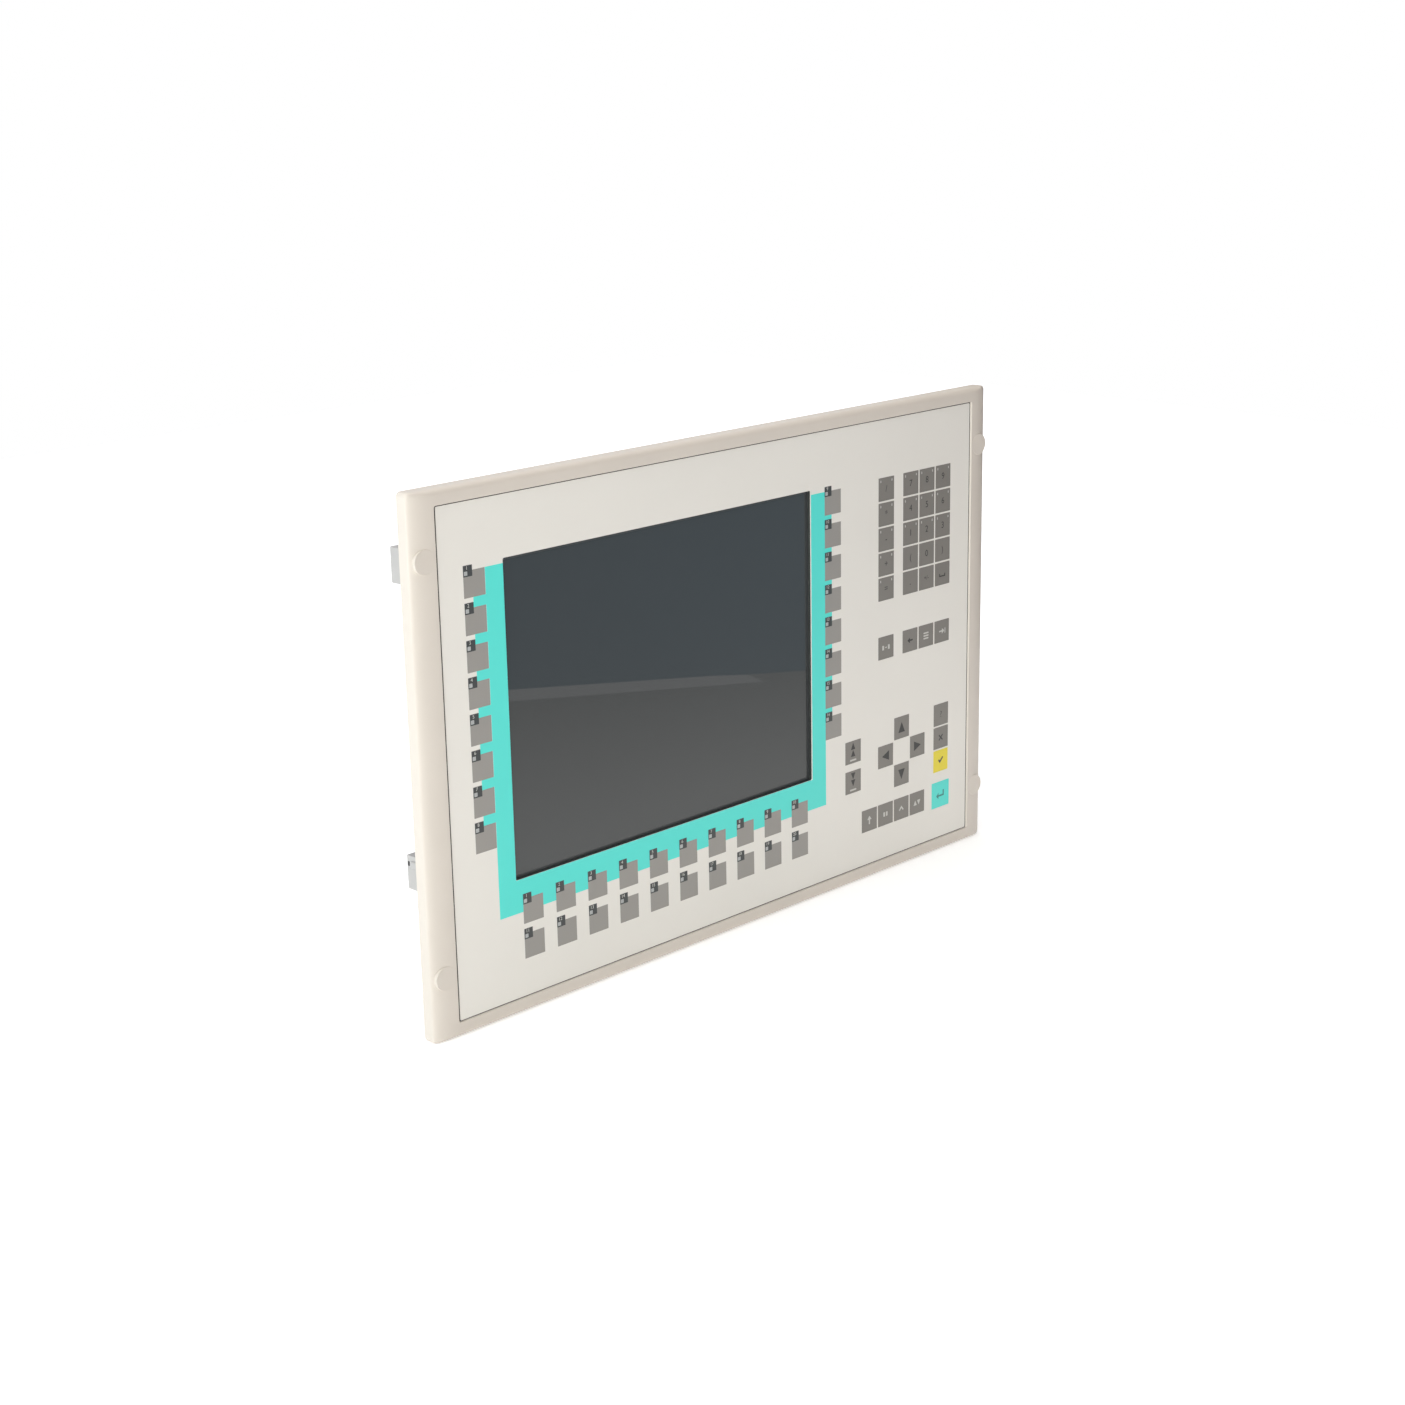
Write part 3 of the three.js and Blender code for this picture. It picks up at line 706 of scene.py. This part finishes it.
# What is printed on each key: digits or signs, or outlines, and whether the ink is dark.
SIGNS = {"divide": "/", "times": "*", "minus": "-", "plus": "+", "equals": "=", "point": ".",
         "open_bracket": "(", "close_bracket": ")", "sign": "+/-", "help": "?"}
OUTLINES = {
    "up": [HEAD],
    "down": [turned(HEAD, 2)],
    "left": [turned(HEAD, 1)],
    "right": [turned(HEAD, 3)],
    "page_up": [polygon(SMALL_HEAD, z=3.9), polygon(SMALL_HEAD, z=-0.8)],
    "page_down": [polygon(turned(SMALL_HEAD, 2), z=3.9), polygon(turned(SMALL_HEAD, 2), z=-0.8)],
    "backspace": [turned(SHAFTED, 1)],
    "escape": [CROSS],
    "acknowledge": [TICK],
    "enter": [RETURN_ARROW],
    "space": [bar(0, -1.6, 6, 0.8), bar(-2.6, -0.8, 0.8, 1.8), bar(2.6, -0.8, 0.8, 1.8)],
}
LIGHT_OUTLINES = {
    "letters": [bar(-2.8, 0, 1.7, 3), bar(0, 0, 1.7, 0.7), bar(2.8, 0, 1.7, 3)],
    "insert_delete": [bar(0, 1.8, 5, 1.0), bar(0, 0, 5, 1.0), bar(0, -1.8, 5, 1.0)],
    "tab": [turned(SHAFTED, 3), bar(3.4, 0, 0.7, 3.6)],
    "shift": [polygon(SHAFTED, 1.1)],
    "function": [bar(-1.3, 0, 1.6, 3), bar(1.3, 0, 1.6, 3)],
    "control": [CHEVRON],
    "alternate": [polygon(HEAD, 0.5, x=-1.8), polygon(turned(HEAD, 2), 0.5, x=1.8)],
    "page_up": [bar(0, -5.4, 6, 1.1)],
    "page_down": [bar(0, -5.4, 6, 1.1)],
}
PAD_KEYS = {"divide", "times", "minus", "plus", "equals", *"789456123"}
BASE_INKS = {"acknowledge": YELLOW_INK, "enter": ENTER_INK}


def legend(name, key):
    """The printed marks of one key."""
    front = -FIELD_STEP
    dark = TEAL_INK if name == "enter" else DARK_INK
    marks = []
    if name.isdigit() or name in SIGNS:
        sign = SIGNS.get(name, name)
        size = 4.2 if len(sign) > 1 else 6.0
        marks.append(text("sign", sign, key.x, key.z, size, 0, dark))
    for shapes, ink in ((OUTLINES, dark), (LIGHT_OUTLINES, LIGHT_INK)):
        for outline in shapes.get(name, []):
            moved = polygon(outline, x=key.x, z=key.z)
            marks.append(sheet("mark", [moved], front, 0.2, ink))
    if name in PAD_KEYS:
        for side in (-1, 1):
            corner = bar(key.x + side * 5.4, key.z + 5.2, 0.8, 1.5)
            marks.append(sheet("mark", [corner], front, 0.2, LIGHT_INK))
    return marks


def system_key(node, key):
    """A cap that fills its hole in the film, its plunger, and what is printed on it."""
    name = node.removeprefix("key_")
    side = key.width + CAP_GROWTH
    ink = BASE_INKS.get(name, KEY_INK)
    outline = rectangle(key.x, key.z, side, side, 0.25, 2)
    cap = sheet("cap", [outline], 0, 1.9, ink, 0.05)
    plunger = block("plunger", key.x, key.z, 4, 4, 1.5, key.rear, BLACK_EDGE, 0.3)
    made = joined(node + "_cap", [cap, plunger, *legend(name, key)])
    piece(made, body=node, replaces=[node])


# ---- display ----


def display():
    """The pane with its dark printed border, and the two edges that line the window."""
    outline = rectangle(PANE.x, PANE.z, PANE.width, PANE.height, 2)
    pane = sheet("display_pane_glass", [outline], PANE.front, PANE.rear, GLASS, 0.15)
    piece(pane, replaces=["display_pane"])
    outlines = [window_outline(0.5), window_outline(-1.8)]
    front, rear = PANE.front - FIELD_STEP, PANE.front + 0.3
    piece(sheet("display_border", outlines, front, rear, BLACK_EDGE))
    outlines = [window_outline(0.4), window_outline(-0.03)]
    for name, front, rear, material in (
        ("window_lining", FILM.rear, LINING_DEPTH, BLACK_EDGE),
        ("window_seal", LINING_DEPTH, PANE.front, GREY_EDGE),
    ):
        piece(sheet(name, outlines, front, rear, material))


# ---- sheet metal behind the front ----


def folded_shell(name, part, fold, thickness, lip=0.0):
    """An open-fronted box folded from sheet. With a lip its rear is open inside the lip."""
    front, rear = part.front, part.rear

    def outline(inset):
        width, height = part.width - 2 * inset, part.height - 2 * inset
        return rectangle(part.x, part.z, width, height, max(0.3, 3 - inset))

    def skin(inset, first, last, radius):
        rings = [(outline(inset), first)]
        for sine, cosine in quarter_turn(5):
            narrow = inset + radius * (1 - cosine)
            rings.append((outline(narrow), last - radius * (1 - sine)))
        return rings

    outer = ring_loft(name, skin(0, front, rear, fold), ZINC)
    hollow = skin(thickness, front - 1, rear - thickness, fold - thickness + 0.3)
    cutters = [ring_loft(name + "_inside", hollow, ZINC)]
    if lip:
        size = part.width - 2 * lip, part.height - 2 * lip
        cutters.append(block("mouth", part.x, part.z, *size, rear - 5, rear + 1, ZINC, 0))
    return subtract(outer, cutters)


def circle(x, z, radius, steps=24, lobes=0.0):
    """Points round a circle, or round a six-lobed outline for a driver."""
    points = []
    for step in range(steps):
        angle = 2 * math.pi * step / steps
        r = radius * (1 + lobes * math.cos(6 * angle))
        points.append((x + r * math.cos(angle), z + r * math.sin(angle)))
    return points


def turned_part(name, x, z, profile, material, steps=24):
    """A turned part along the depth. The profile is (radius, depth), with lobes as a third."""
    rings = [(circle(x, z, row[0], steps, *row[2:]), row[1]) for row in profile]
    return ring_loft(name, rings, material)


def pan_screw(x, z, seat, radius=2.9):
    """A pan head with a six-lobed recess, facing rearwards from its seat."""
    lobes = 0.12
    rise = [
        (1, -0.3), (1, 0.5), (0.95, 1.0), (0.8, 1.4), (0.55, 1.6), (0.42, 1.62),
        (0.40, 1.58, lobes), (0.36, 0.5, lobes),
    ]
    profile = [(share * radius, seat + height, *rest) for share, height, *rest in rise]
    return turned_part("pan_screw", x, z, profile, STEEL)


def corner_seams(part, depth_from, depth_to):
    """Fine cuts where the folded sides of a box meet at its corners."""
    reach = 1.35
    cuts = []
    for side_x, side_z in QUARTERS:
        x = part.x + side_x * (part.width / 2 - reach)
        z = part.z + side_z * part.height / 2
        cuts.append(block("seam", x, z, 0.35, 1.0, depth_from, depth_to, ZINC, 0))
    return cuts


def support_tray():
    """The folded tray with slots for cables and clamps, corner reliefs, weld marks and screws."""
    slot_x, reach = 120, 40
    tray = folded_shell("support_tray_sheet", TRAY, 2.0, 1.5)
    cutters = [block("slot", slot_x, 40, 60, 30, TRAY.rear - 6, TRAY.rear + 2, ZINC, 0)]
    for box in map(Box, CLAMPS):
        side = math.copysign(TRAY.width / 2, box.x)
        cutters.append(block("slot", side, box.z, 8, CLAMP_SLOT_HEIGHT, 20, 24, ZINC, 0))
    relief = [(2.4, TRAY.rear - 3.2), (2.4, TRAY.rear + 2)]
    for side_x, side_z in QUARTERS:
        x, z = side_x * TRAY.width / 2, side_z * TRAY.height / 2
        cutters.append(turned_part("relief", x, z, relief, ZINC, 16))
    weld = [(1.6, TRAY.rear - 0.12), (2.0, TRAY.rear + 0.5)]
    for x in range(-200, 201, 40):
        for side in (-1, 1):
            if abs(x - slot_x) > reach or side < 0:
                cutters.append(turned_part("weld", x, side * 138.6, weld, ZINC, 16))
    subtract(tray, cutters + corner_seams(TRAY, TRAY.front + 2, TRAY.rear - 2.2))
    piece(tray, replaces=["support_tray"])

    screws = [pan_screw(x, z, TRAY.rear) for x in (-213, 213) for z in (-125, 0, 125)]
    piece(joined("tray_screws", screws))


def housing():
    """The box behind the tray, with openings for the ports and feet that hold it to the tray."""
    shell = folded_shell("rear_housing_sheet", HOUSING, 1.8, 1.2, lip=8)
    bottom = HOUSING.bottom
    cutters = [
        block("port", port.x, bottom, port.width + 1, 5, port.front - 0.5, port.rear + 0.5, ZINC, 0)
        for port in map(Box, ("power_terminal", "serial_port", "network_port"))
    ]
    subtract(shell, cutters + corner_seams(HOUSING, HOUSING.front + 2, HOUSING.rear - 2))
    piece(shell, replaces=["rear_housing"])

    feet = []
    front = TRAY.rear + 0.05
    for side in (-1, 1):
        edge = side * HOUSING.width / 2
        for z in FOOT_ROWS:
            feet += [
                block("foot", edge + side * 5.6, z, 11, 16, front, TRAY.rear + 1.25, ZINC, 0.35),
                block("web", edge + side * 0.55, z, 1.1, 16, front, TRAY.rear + 9, ZINC, 0.3),
                pan_screw(edge + side * 6.4, z, TRAY.rear + 1.2),
            ]
    piece(joined("housing_feet", feet))


def cover():
    """The flat cover with its ventilation slots, which have round ends, and its screws."""
    outlines = [rectangle(HOUSING.x, HOUSING.z, COVER.width, COVER.height, 3)]
    for x in VENT_COLUMNS:
        for row in range(VENT_ROWS):
            z = VENT_PITCH * (row - (VENT_ROWS - 1) / 2)
            outlines.append(rectangle(x, z, VENT_LENGTH, VENT_HEIGHT, 1.79, 5))
    plate = sheet("rear_cover_sheet", outlines, COVER.front, COVER.rear, COVER_ZINC, 0.25)
    piece(plate, replaces=["rear_cover"])

    inset = 4.2
    reach_x, reach_z = COVER.width / 2 - inset, COVER.height / 2 - inset
    places = [(x, side * reach_z) for side in (-1, 1) for x in (-182, -91, 0, 91, 182)]
    places += [(side * reach_x, z) for side in (-1, 1) for z in (-64, 64)]
    heads = [pan_screw(x, z, COVER.rear, 2.4) for x, z in places]
    piece(joined("cover_screws", heads))


def earth_stud():
    """A stud with washer and nut on the tray, for the protective conductor."""
    x, z, seat = -206, -96, TRAY.rear
    washer = [(5.5, seat - 0.2), (5.5, seat + 0.9), (5.2, seat + 1.1)]
    base = turned_part("stud_washer", x, z, washer, STEEL)
    hexagon = [(4.25, seat + 1.0), (4.6, seat + 1.3), (4.6, seat + 4.4), (4.25, seat + 4.8)]
    nut = turned_part("stud_nut", x, z, hexagon, STEEL, 6)
    stud = threaded("stud", x, z, seat, seat + 9.5, 2.5, 0.8, STEEL)
    piece(joined("earth_stud", [base, nut, stud]))


def threaded(name, x, z, front, rear, radius, pitch, material, steps=24):
    """A screw thread from front to rear, with coned ends."""
    per_turn = 6
    count = round((rear - front) / pitch * per_turn)
    rings = []
    for row in range(count + 1):
        depth = front + (rear - front) * row / count
        taper = min(1.0, (row + 2) / 6, (count - row + 2) / 6)
        outline = []
        for step in range(steps):
            turn = step / steps
            phase = (depth / pitch - turn) % 1.0
            groove = 0.3 * pitch * (1 - abs(2 * phase - 1))
            r = (radius - groove) * (0.72 + 0.28 * taper)
            angle = 2 * math.pi * turn
            outline.append((x + r * math.cos(angle), z + r * math.sin(angle)))
        rings.append((outline, depth))
    return ring_loft(name, rings, material)


# ---- clamps ----


def clamp(node):
    """A cast block on a tongue through the tray's wall. A lower one has a ridge, and a black block
    in a pocket as painted shade of a hole.
    """
    box = Box(node)
    screw = Box(node.replace("clamp_", "clamp_screw_"))
    side = math.copysign(1, box.x)
    middle, width = side * (CLAMP_INNER + CLAMP_OUTER) / 2, CLAMP_OUTER - CLAMP_INNER
    front, rear = box.front, box.rear + CLAMP_REACH
    casting = block(node + "_casting", middle, box.z, width, box.height, front, rear, CASTING, 0.5)
    bore = [(CLAMP_BORE, front - 2), (CLAMP_BORE, rear + 2)]
    cutters = [turned_part("bore", screw.x, screw.z, bore, CASTING)]
    hooks = (("tongue", 219.6, 6.2, 20.3), ("hook", 217.75, 2.5, 16.3))  # x, width, front
    parts = [
        block(name, side * x, box.z, wide, TONGUE_HEIGHT, first, TONGUE_REAR, CASTING, 0.4)
        for name, x, wide, first in hooks
    ]
    if node.endswith("lower"):
        z = screw.z
        # Painted shade: the black block in this pocket paints the shade of a hole at the rear of
        # the ridge.
        cutters.append(block("pocket", side * CLAMP_OUTER, z, 2.2, 2.8, 27.05, 28.75, CASTING, 0))
        parts += [
            block("ridge", side * 232.1, z, 2.2, 4.4, 18.0, 25.7, CASTING, 1.0),
            block("hole_shade_block", side * 231.5, z, 1.2, 2.7, 27.1, 28.7, PORT_PLASTIC, 0.15),
        ]
    body = subtract(casting, cutters)
    piece(joined(node + "_body", [body, *parts]), replaces=[node])


def clamp_screw(node):
    """A set screw with a coned tip, a real thread and a socket for the key."""
    box = Box(node)
    rear, lobes = box.rear, 0.1
    shaft = threaded(node + "_thread", box.x, box.z, box.front, rear - 0.9, 2.0, 0.8, PLATED)
    profile = [
        (1.5, rear - 1.6), (1.9, rear - 1.0), (1.9, rear - 0.3), (1.6, rear),
        (1.25, rear), (1.15, rear - 0.1, lobes), (1.1, rear - 1.5, lobes),
    ]
    end = turned_part(node + "_end", box.x, box.z, profile, STEEL)
    piece(joined(node + "_steel", [shaft, end]), body=node, replaces=[node])


# ---- ports in the underside ----


def upright_part(name, x, depth, profile, material, steps=20):
    """A turned part along z. The profile is (radius, z)."""
    rows = [[point(a, b, z) for a, b in circle(x, depth, radius, steps)] for radius, z in profile]
    return loft(name, rows, material)


def power_terminal():
    """A three-way terminal with wire entries, cages and screws."""
    port = Box("power_terminal")
    face = port.bottom
    front = port.front
    axis = front + 9.9
    body = block(
        "terminal_body", port.x, port.z, port.width, port.height, front, port.rear, TERMINAL, 0.5
    )
    places = [port.x + step * 7.6 for step in (-1, 0, 1)]
    well = [(1.9, face - 1), (1.9, face + 4)]
    cutters = []
    for x in places:
        cutters.append(block("entry", x, face, 4.6, 16, front + 3.4, front + 7.6, TERMINAL, 0.4))
        cutters.append(upright_part("well", x, axis, well, TERMINAL))
    subtract(body, cutters)
    screw = [(1.7, face + 4), (1.7, face + 1.3), (1.5, face + 1.0)]
    screws = [upright_part("terminal_screw", x, axis, screw, STEEL) for x in places]
    cages = [
        block("cage", x, face + 6.5, 4.2, 2, front + 3.6, front + 7.4, STEEL, 0.2) for x in places
    ]
    made = joined("power_terminal_plug", [body, *screws, *cages])
    piece(made, replaces=["power_terminal"])


def serial_port():
    """A nine-pin socket: flange, shell with sloping ends, insert, pins and two standoffs."""
    port = Box("serial_port")
    face = -140.0
    middle = port.depth
    front, rear = port.front, port.rear
    flange = block("flange", port.x, face + 0.5, port.width, 1.0, front, rear, STEEL, 0.3)
    z, width, height = (face + port.top) / 2 + 0.5, port.width - 0.4, port.top - face - 1
    base = block("port_base", port.x, z, width, height, front + 0.2, rear - 0.2, PORT_PLASTIC, 0.5)

    def dee(grow):
        wide, narrow, half = 12.6 + grow, 11.1 + grow, 4.2 + grow
        corners = ((-wide, -half), (wide, -half), (narrow, half), (-narrow, half))
        return [(port.x + a, middle + b) for a, b in corners]

    low = port.bottom
    section = ((0, face + 0.4), (0, low + 0.4), (-0.4, low), (-0.9, low), (-0.9, face + 0.4))
    rows = [[point(a, b, z) for a, b in dee(grow)] for grow, z in section]
    shell = loft("shell", rows, STEEL)
    insert = block("insert", port.x, face - 0.2, 21, 1.4, middle - 3, middle + 3, PORT_PLASTIC, 0.3)
    parts = [flange, base, shell, insert]
    pin = [(0.5, face - 0.6), (0.5, face - 4.8), (0.2, face - 5.2)]
    pitch = 2.76
    for row, count in ((-1.4, 5), (1.4, 4)):
        for place in range(count):
            x = port.x + (place - (count - 1) / 2) * pitch
            parts.append(upright_part("pin", x, middle + row, pin, GOLD, 8))
    standoff = [(2.6, face + 0.2), (2.6, face - 3.6), (2.3, face - 3.9)]
    for side in (-1, 1):
        parts.append(upright_part("standoff", port.x + side * 16.2, middle, standoff, STEEL, 6))
    piece(joined("serial_socket", parts), replaces=["serial_port"])


def network_port():
    """A socket with a mouth, a latch slot and eight contacts."""
    port = Box("network_port")
    face = port.bottom
    front, rear = port.front, port.rear
    body = block(
        "socket_body", port.x, port.z, port.width, port.height, front, rear, PORT_PLASTIC, 0.4
    )
    subtract(body, [
        block("mouth", port.x, face + 5, 11.8, 26, front + 2.4, rear - 3, PORT_PLASTIC, 0),
        block("latch", port.x, face, 6, 14, rear - 4, rear - 1, PORT_PLASTIC, 0),
    ])
    pitch = 1.02
    contacts = []
    for place in range(8):
        x = port.x + (place - 3.5) * pitch
        first = front + 2.5
        contacts.append(block("contact", x, face + 6, 0.45, 10, first, first + 0.5, GOLD, 0.1))
    piece(joined("network_socket_body", [body, *contacts]), replaces=["network_port"])


# ---- the panel, with what stays as the CAD has it ----

CLAMPS = sorted(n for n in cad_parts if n.startswith("clamp_") and "screw" not in n)
CLAMP_SCREWS = sorted(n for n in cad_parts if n.startswith("clamp_screw_"))
AS_IN_CAD = {
    "lcd_module": ZINC,
    "keypad_board": BOARD,
    "backlight_inverter": BOARD,
    "main_board": BOARD,
    "mounting_gasket": RUBBER,
}
for node, material in AS_IN_CAD.items():
    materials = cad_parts[node].data.materials
    materials.clear()
    materials.append(material)

support_tray()
housing()
cover()
earth_stud()
for node in CLAMPS:
    clamp(node)
for node in CLAMP_SCREWS:
    clamp_screw(node)
power_terminal()
serial_port()
network_port()

KEYS = {node: Box(node) for node in sorted(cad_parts) if node.startswith("key_")}

front_frame(KEYS.values())
rack_bosses()
front_film(KEYS.values())
film_bead()
band = sheet("turquoise_band", [band_outline()], -FIELD_STEP, FILM.rear / 2, BAND_INK)
piece(band)
soft_keys()
for node, key in KEYS.items():
    system_key(node, key)
display()

# ---- studio ----

FLOOR_Z = FRAME.bottom * MM
SKY_BRIGHT = (0.42, 0.454, 0.56, 1)  # above, behind and to the left of the panel
SKY_DIM = (0.11, 0.089, 0.065, 1)  # in front of it and to the right
SKY_AXIS = (-0.35, 0.75, 0.56)
SKY_EDGE = {"From Min": -0.4, "From Max": 0.02}
LEFT_LIGHT = 31.4, (0.9, 1.0, 0.95)  # power in watts, and tint
FRONT_LIGHT = 6.3, (1.0, 0.59, 0.325)
TOP_LIGHT = 47.1, (1.0, 0.95, 0.82)
MIRRORED_ONLY = ("camera", "diffuse", "shadow")
UNSEEN = ("camera", "shadow")
CARD_TINT = (0.72, 0.88, 1, 1)
CARD_GLOW = (0.7, 0.714)
APRON_GLOW = (0.8, 1.34)
STRIP_GLOW = (1.32, 1.188)
FLAG_GLOW = (0.03, 0.05)
FLOOR_GLOW = (0.28, 0.66)  # a light table, which keeps the paper white where the lamps fall off
FLOOR_REACH = 1.9
CARD_NEAR = (0.12, -0.627)
CARD_FAR = (0.60, -0.300)
CARD_TOP = 0.16
FLAG_BOTTOM, FLAG_TOP = -0.09, 0.5
WHITE = (1, 1, 1, 1)
UP = (0, 0, 1)


def staged(name, corners, material, hidden_from=()):
    """A flat piece of the studio, which some kinds of ray may pass through."""
    mesh = bpy.data.meshes.new(name)
    mesh.from_pydata(corners, [], [tuple(range(len(corners)))])
    mesh.materials.append(material)
    made = linked(name, mesh)
    for kind in hidden_from:
        setattr(made, "visible_" + kind, False)


def glowing(name, base, tint, low, high, axis, start, end):
    """Backlit paper whose glow goes from low to high between two distances along an axis."""
    shader = Shader(name, (base, base, base, 1), 0.9)
    shader.vary_colour(shader.noise(3, 2), 0.008)
    shader.set({"Specular IOR Level": 0.1, "Emission Color": tint})
    distance = tree_node(shader.tree, "VectorMath")
    shader.tree.links.new(shader.coordinates, distance.inputs[0])
    distance.operation = "DOT_PRODUCT" if axis else "LENGTH"
    if axis:
        distance.inputs[1].default_value = axis
    limits = {"From Min": start, "From Max": end, "To Min": low, "To Max": high}
    glow = tree_node(shader.tree, "MapRange", **limits)
    shader.tree.links.new(distance.outputs["Value"], glow.inputs["Value"])
    shader.tree.links.new(glow.outputs["Result"], shader.shader.inputs["Emission Strength"])
    return shader.material


def card(name, corners, tint, glow, axis, span, hidden_from=MIRRORED_ONLY):
    """Paper out of the camera's sight, with a glow that changes over a span of an axis."""
    paper = glowing("studio_" + name, 0, tint, *glow, axis, *span)
    staged("reflection_" + name, corners, paper, hidden_from)


def softbox(name, location, size, light_and_tint):
    """A square light that faces the panel."""
    light = bpy.data.lights.new(name, "AREA")
    light.size = size
    light.energy, light.color = light_and_tint
    made = linked(name, light)
    made.location = location
    made.rotation_mode = "QUATERNION"
    made.rotation_quaternion = (-Vector(location)).to_track_quat("-Z", "Y")


def sky():
    """Even light, bright on one side of the studio and dim on the other, on a white backdrop."""
    world = bpy.data.worlds.new("studio_sky")
    bpy.context.scene.world = world
    world.use_nodes = True
    tree = world.node_tree
    direction = tree_node(tree, "TexCoord").outputs["Generated"]
    along = tree_node(tree, "VectorMath")
    along.operation = "DOT_PRODUCT"
    along.inputs[1].default_value = Vector(SKY_AXIS).normalized()
    side = tree_node(tree, "MapRange", **SKY_EDGE)
    side.interpolation_type = "SMOOTHSTEP"
    light = tree_node(tree, "MixRGB", Color1=SKY_DIM, Color2=SKY_BRIGHT)
    seen = tree_node(tree, "MixRGB", Color2=WHITE)
    camera_ray = tree_node(tree, "LightPath").outputs["Is Camera Ray"]
    tree.links.new(direction, along.inputs[0])
    tree.links.new(along.outputs["Value"], side.inputs["Value"])
    tree.links.new(side.outputs["Result"], light.inputs["Fac"])
    tree.links.new(light.outputs["Color"], seen.inputs["Color1"])
    tree.links.new(camera_ray, seen.inputs["Fac"])
    tree.links.new(seen.outputs["Color"], tree.nodes["Background"].inputs["Color"])


def studio():
    """A pale floor, the lights, and the cards that the display and the right rail mirror."""
    reach = FLOOR_REACH
    floor = [(a * reach, b * reach, FLOOR_Z) for a, b in ((-1, -1), (1, -1), (1, 1), (-1, 1))]
    staged("floor", floor, glowing("studio_floor", 0.96, WHITE, *FLOOR_GLOW, None, 0.3, reach))

    near, far = CARD_NEAR, CARD_FAR
    upright = [(*near, FLOOR_Z), (*far, FLOOR_Z), (*far, CARD_TOP), (*near, CARD_TOP)]
    card("card", upright, CARD_TINT, CARD_GLOW, UP, (FLOOR_Z, CARD_TOP))
    low, high = FLAG_BOTTOM, FLAG_TOP
    upright = [(0.5, -0.25, low), (0.5, 0.25, low), (0.5, 0.25, high), (0.5, -0.25, high)]
    card("flag", upright, WHITE, FLAG_GLOW, UP, (low, high), UNSEEN)
    lying = [(x, y, FLOOR_Z + 0.001) for x, y in (near, far, (0.35, 0.07), (-0.13, -0.26))]
    towards_panel = (-0.563, 0.826, 0)
    card("apron", lying, (1, 1, 0.98, 1), APRON_GLOW, towards_panel, (-0.585, -0.13))
    corners = [(0.192, -0.630), (0.432, -0.409), (0.424, -0.384), (0.138, -0.567)]
    lying = [(x, y, FLOOR_Z + 0.002) for x, y in corners]
    card("strip", lying, WHITE, STRIP_GLOW, (1, 0, 0), (0.14, 0.43))

    sky()
    softbox("left_light", (-2.0, -0.6, 0.35), 1.6, LEFT_LIGHT)
    softbox("front_light", (-1.7, -1.9, 0.45), 1.8, FRONT_LIGHT)
    softbox("top_light", (0.0, 0.3, 2.4), 2.4, TOP_LIGHT)


# ---- camera ----


def camera():
    """Stands a metre to the left, a metre in front and 0.4 m above, tilted by a degree."""
    data = bpy.data.cameras.new("camera")
    data.sensor_width = 36
    data.lens = 61.19
    made = linked("camera", data)
    made.location = (-0.9973, -0.9806, 0.3878)
    forward = Vector((0.6797, 0.6803, -0.2741))
    aim = forward.to_track_quat("-Z", "Y").to_matrix().to_4x4()
    tilt = Matrix.Rotation(math.radians(-1.104), 4, "Z")
    made.matrix_world = Matrix.Translation(made.location) @ aim @ tilt
    bpy.context.scene.camera = made


studio()
camera()
bpy.context.scene.view_settings.view_transform = "Standard"
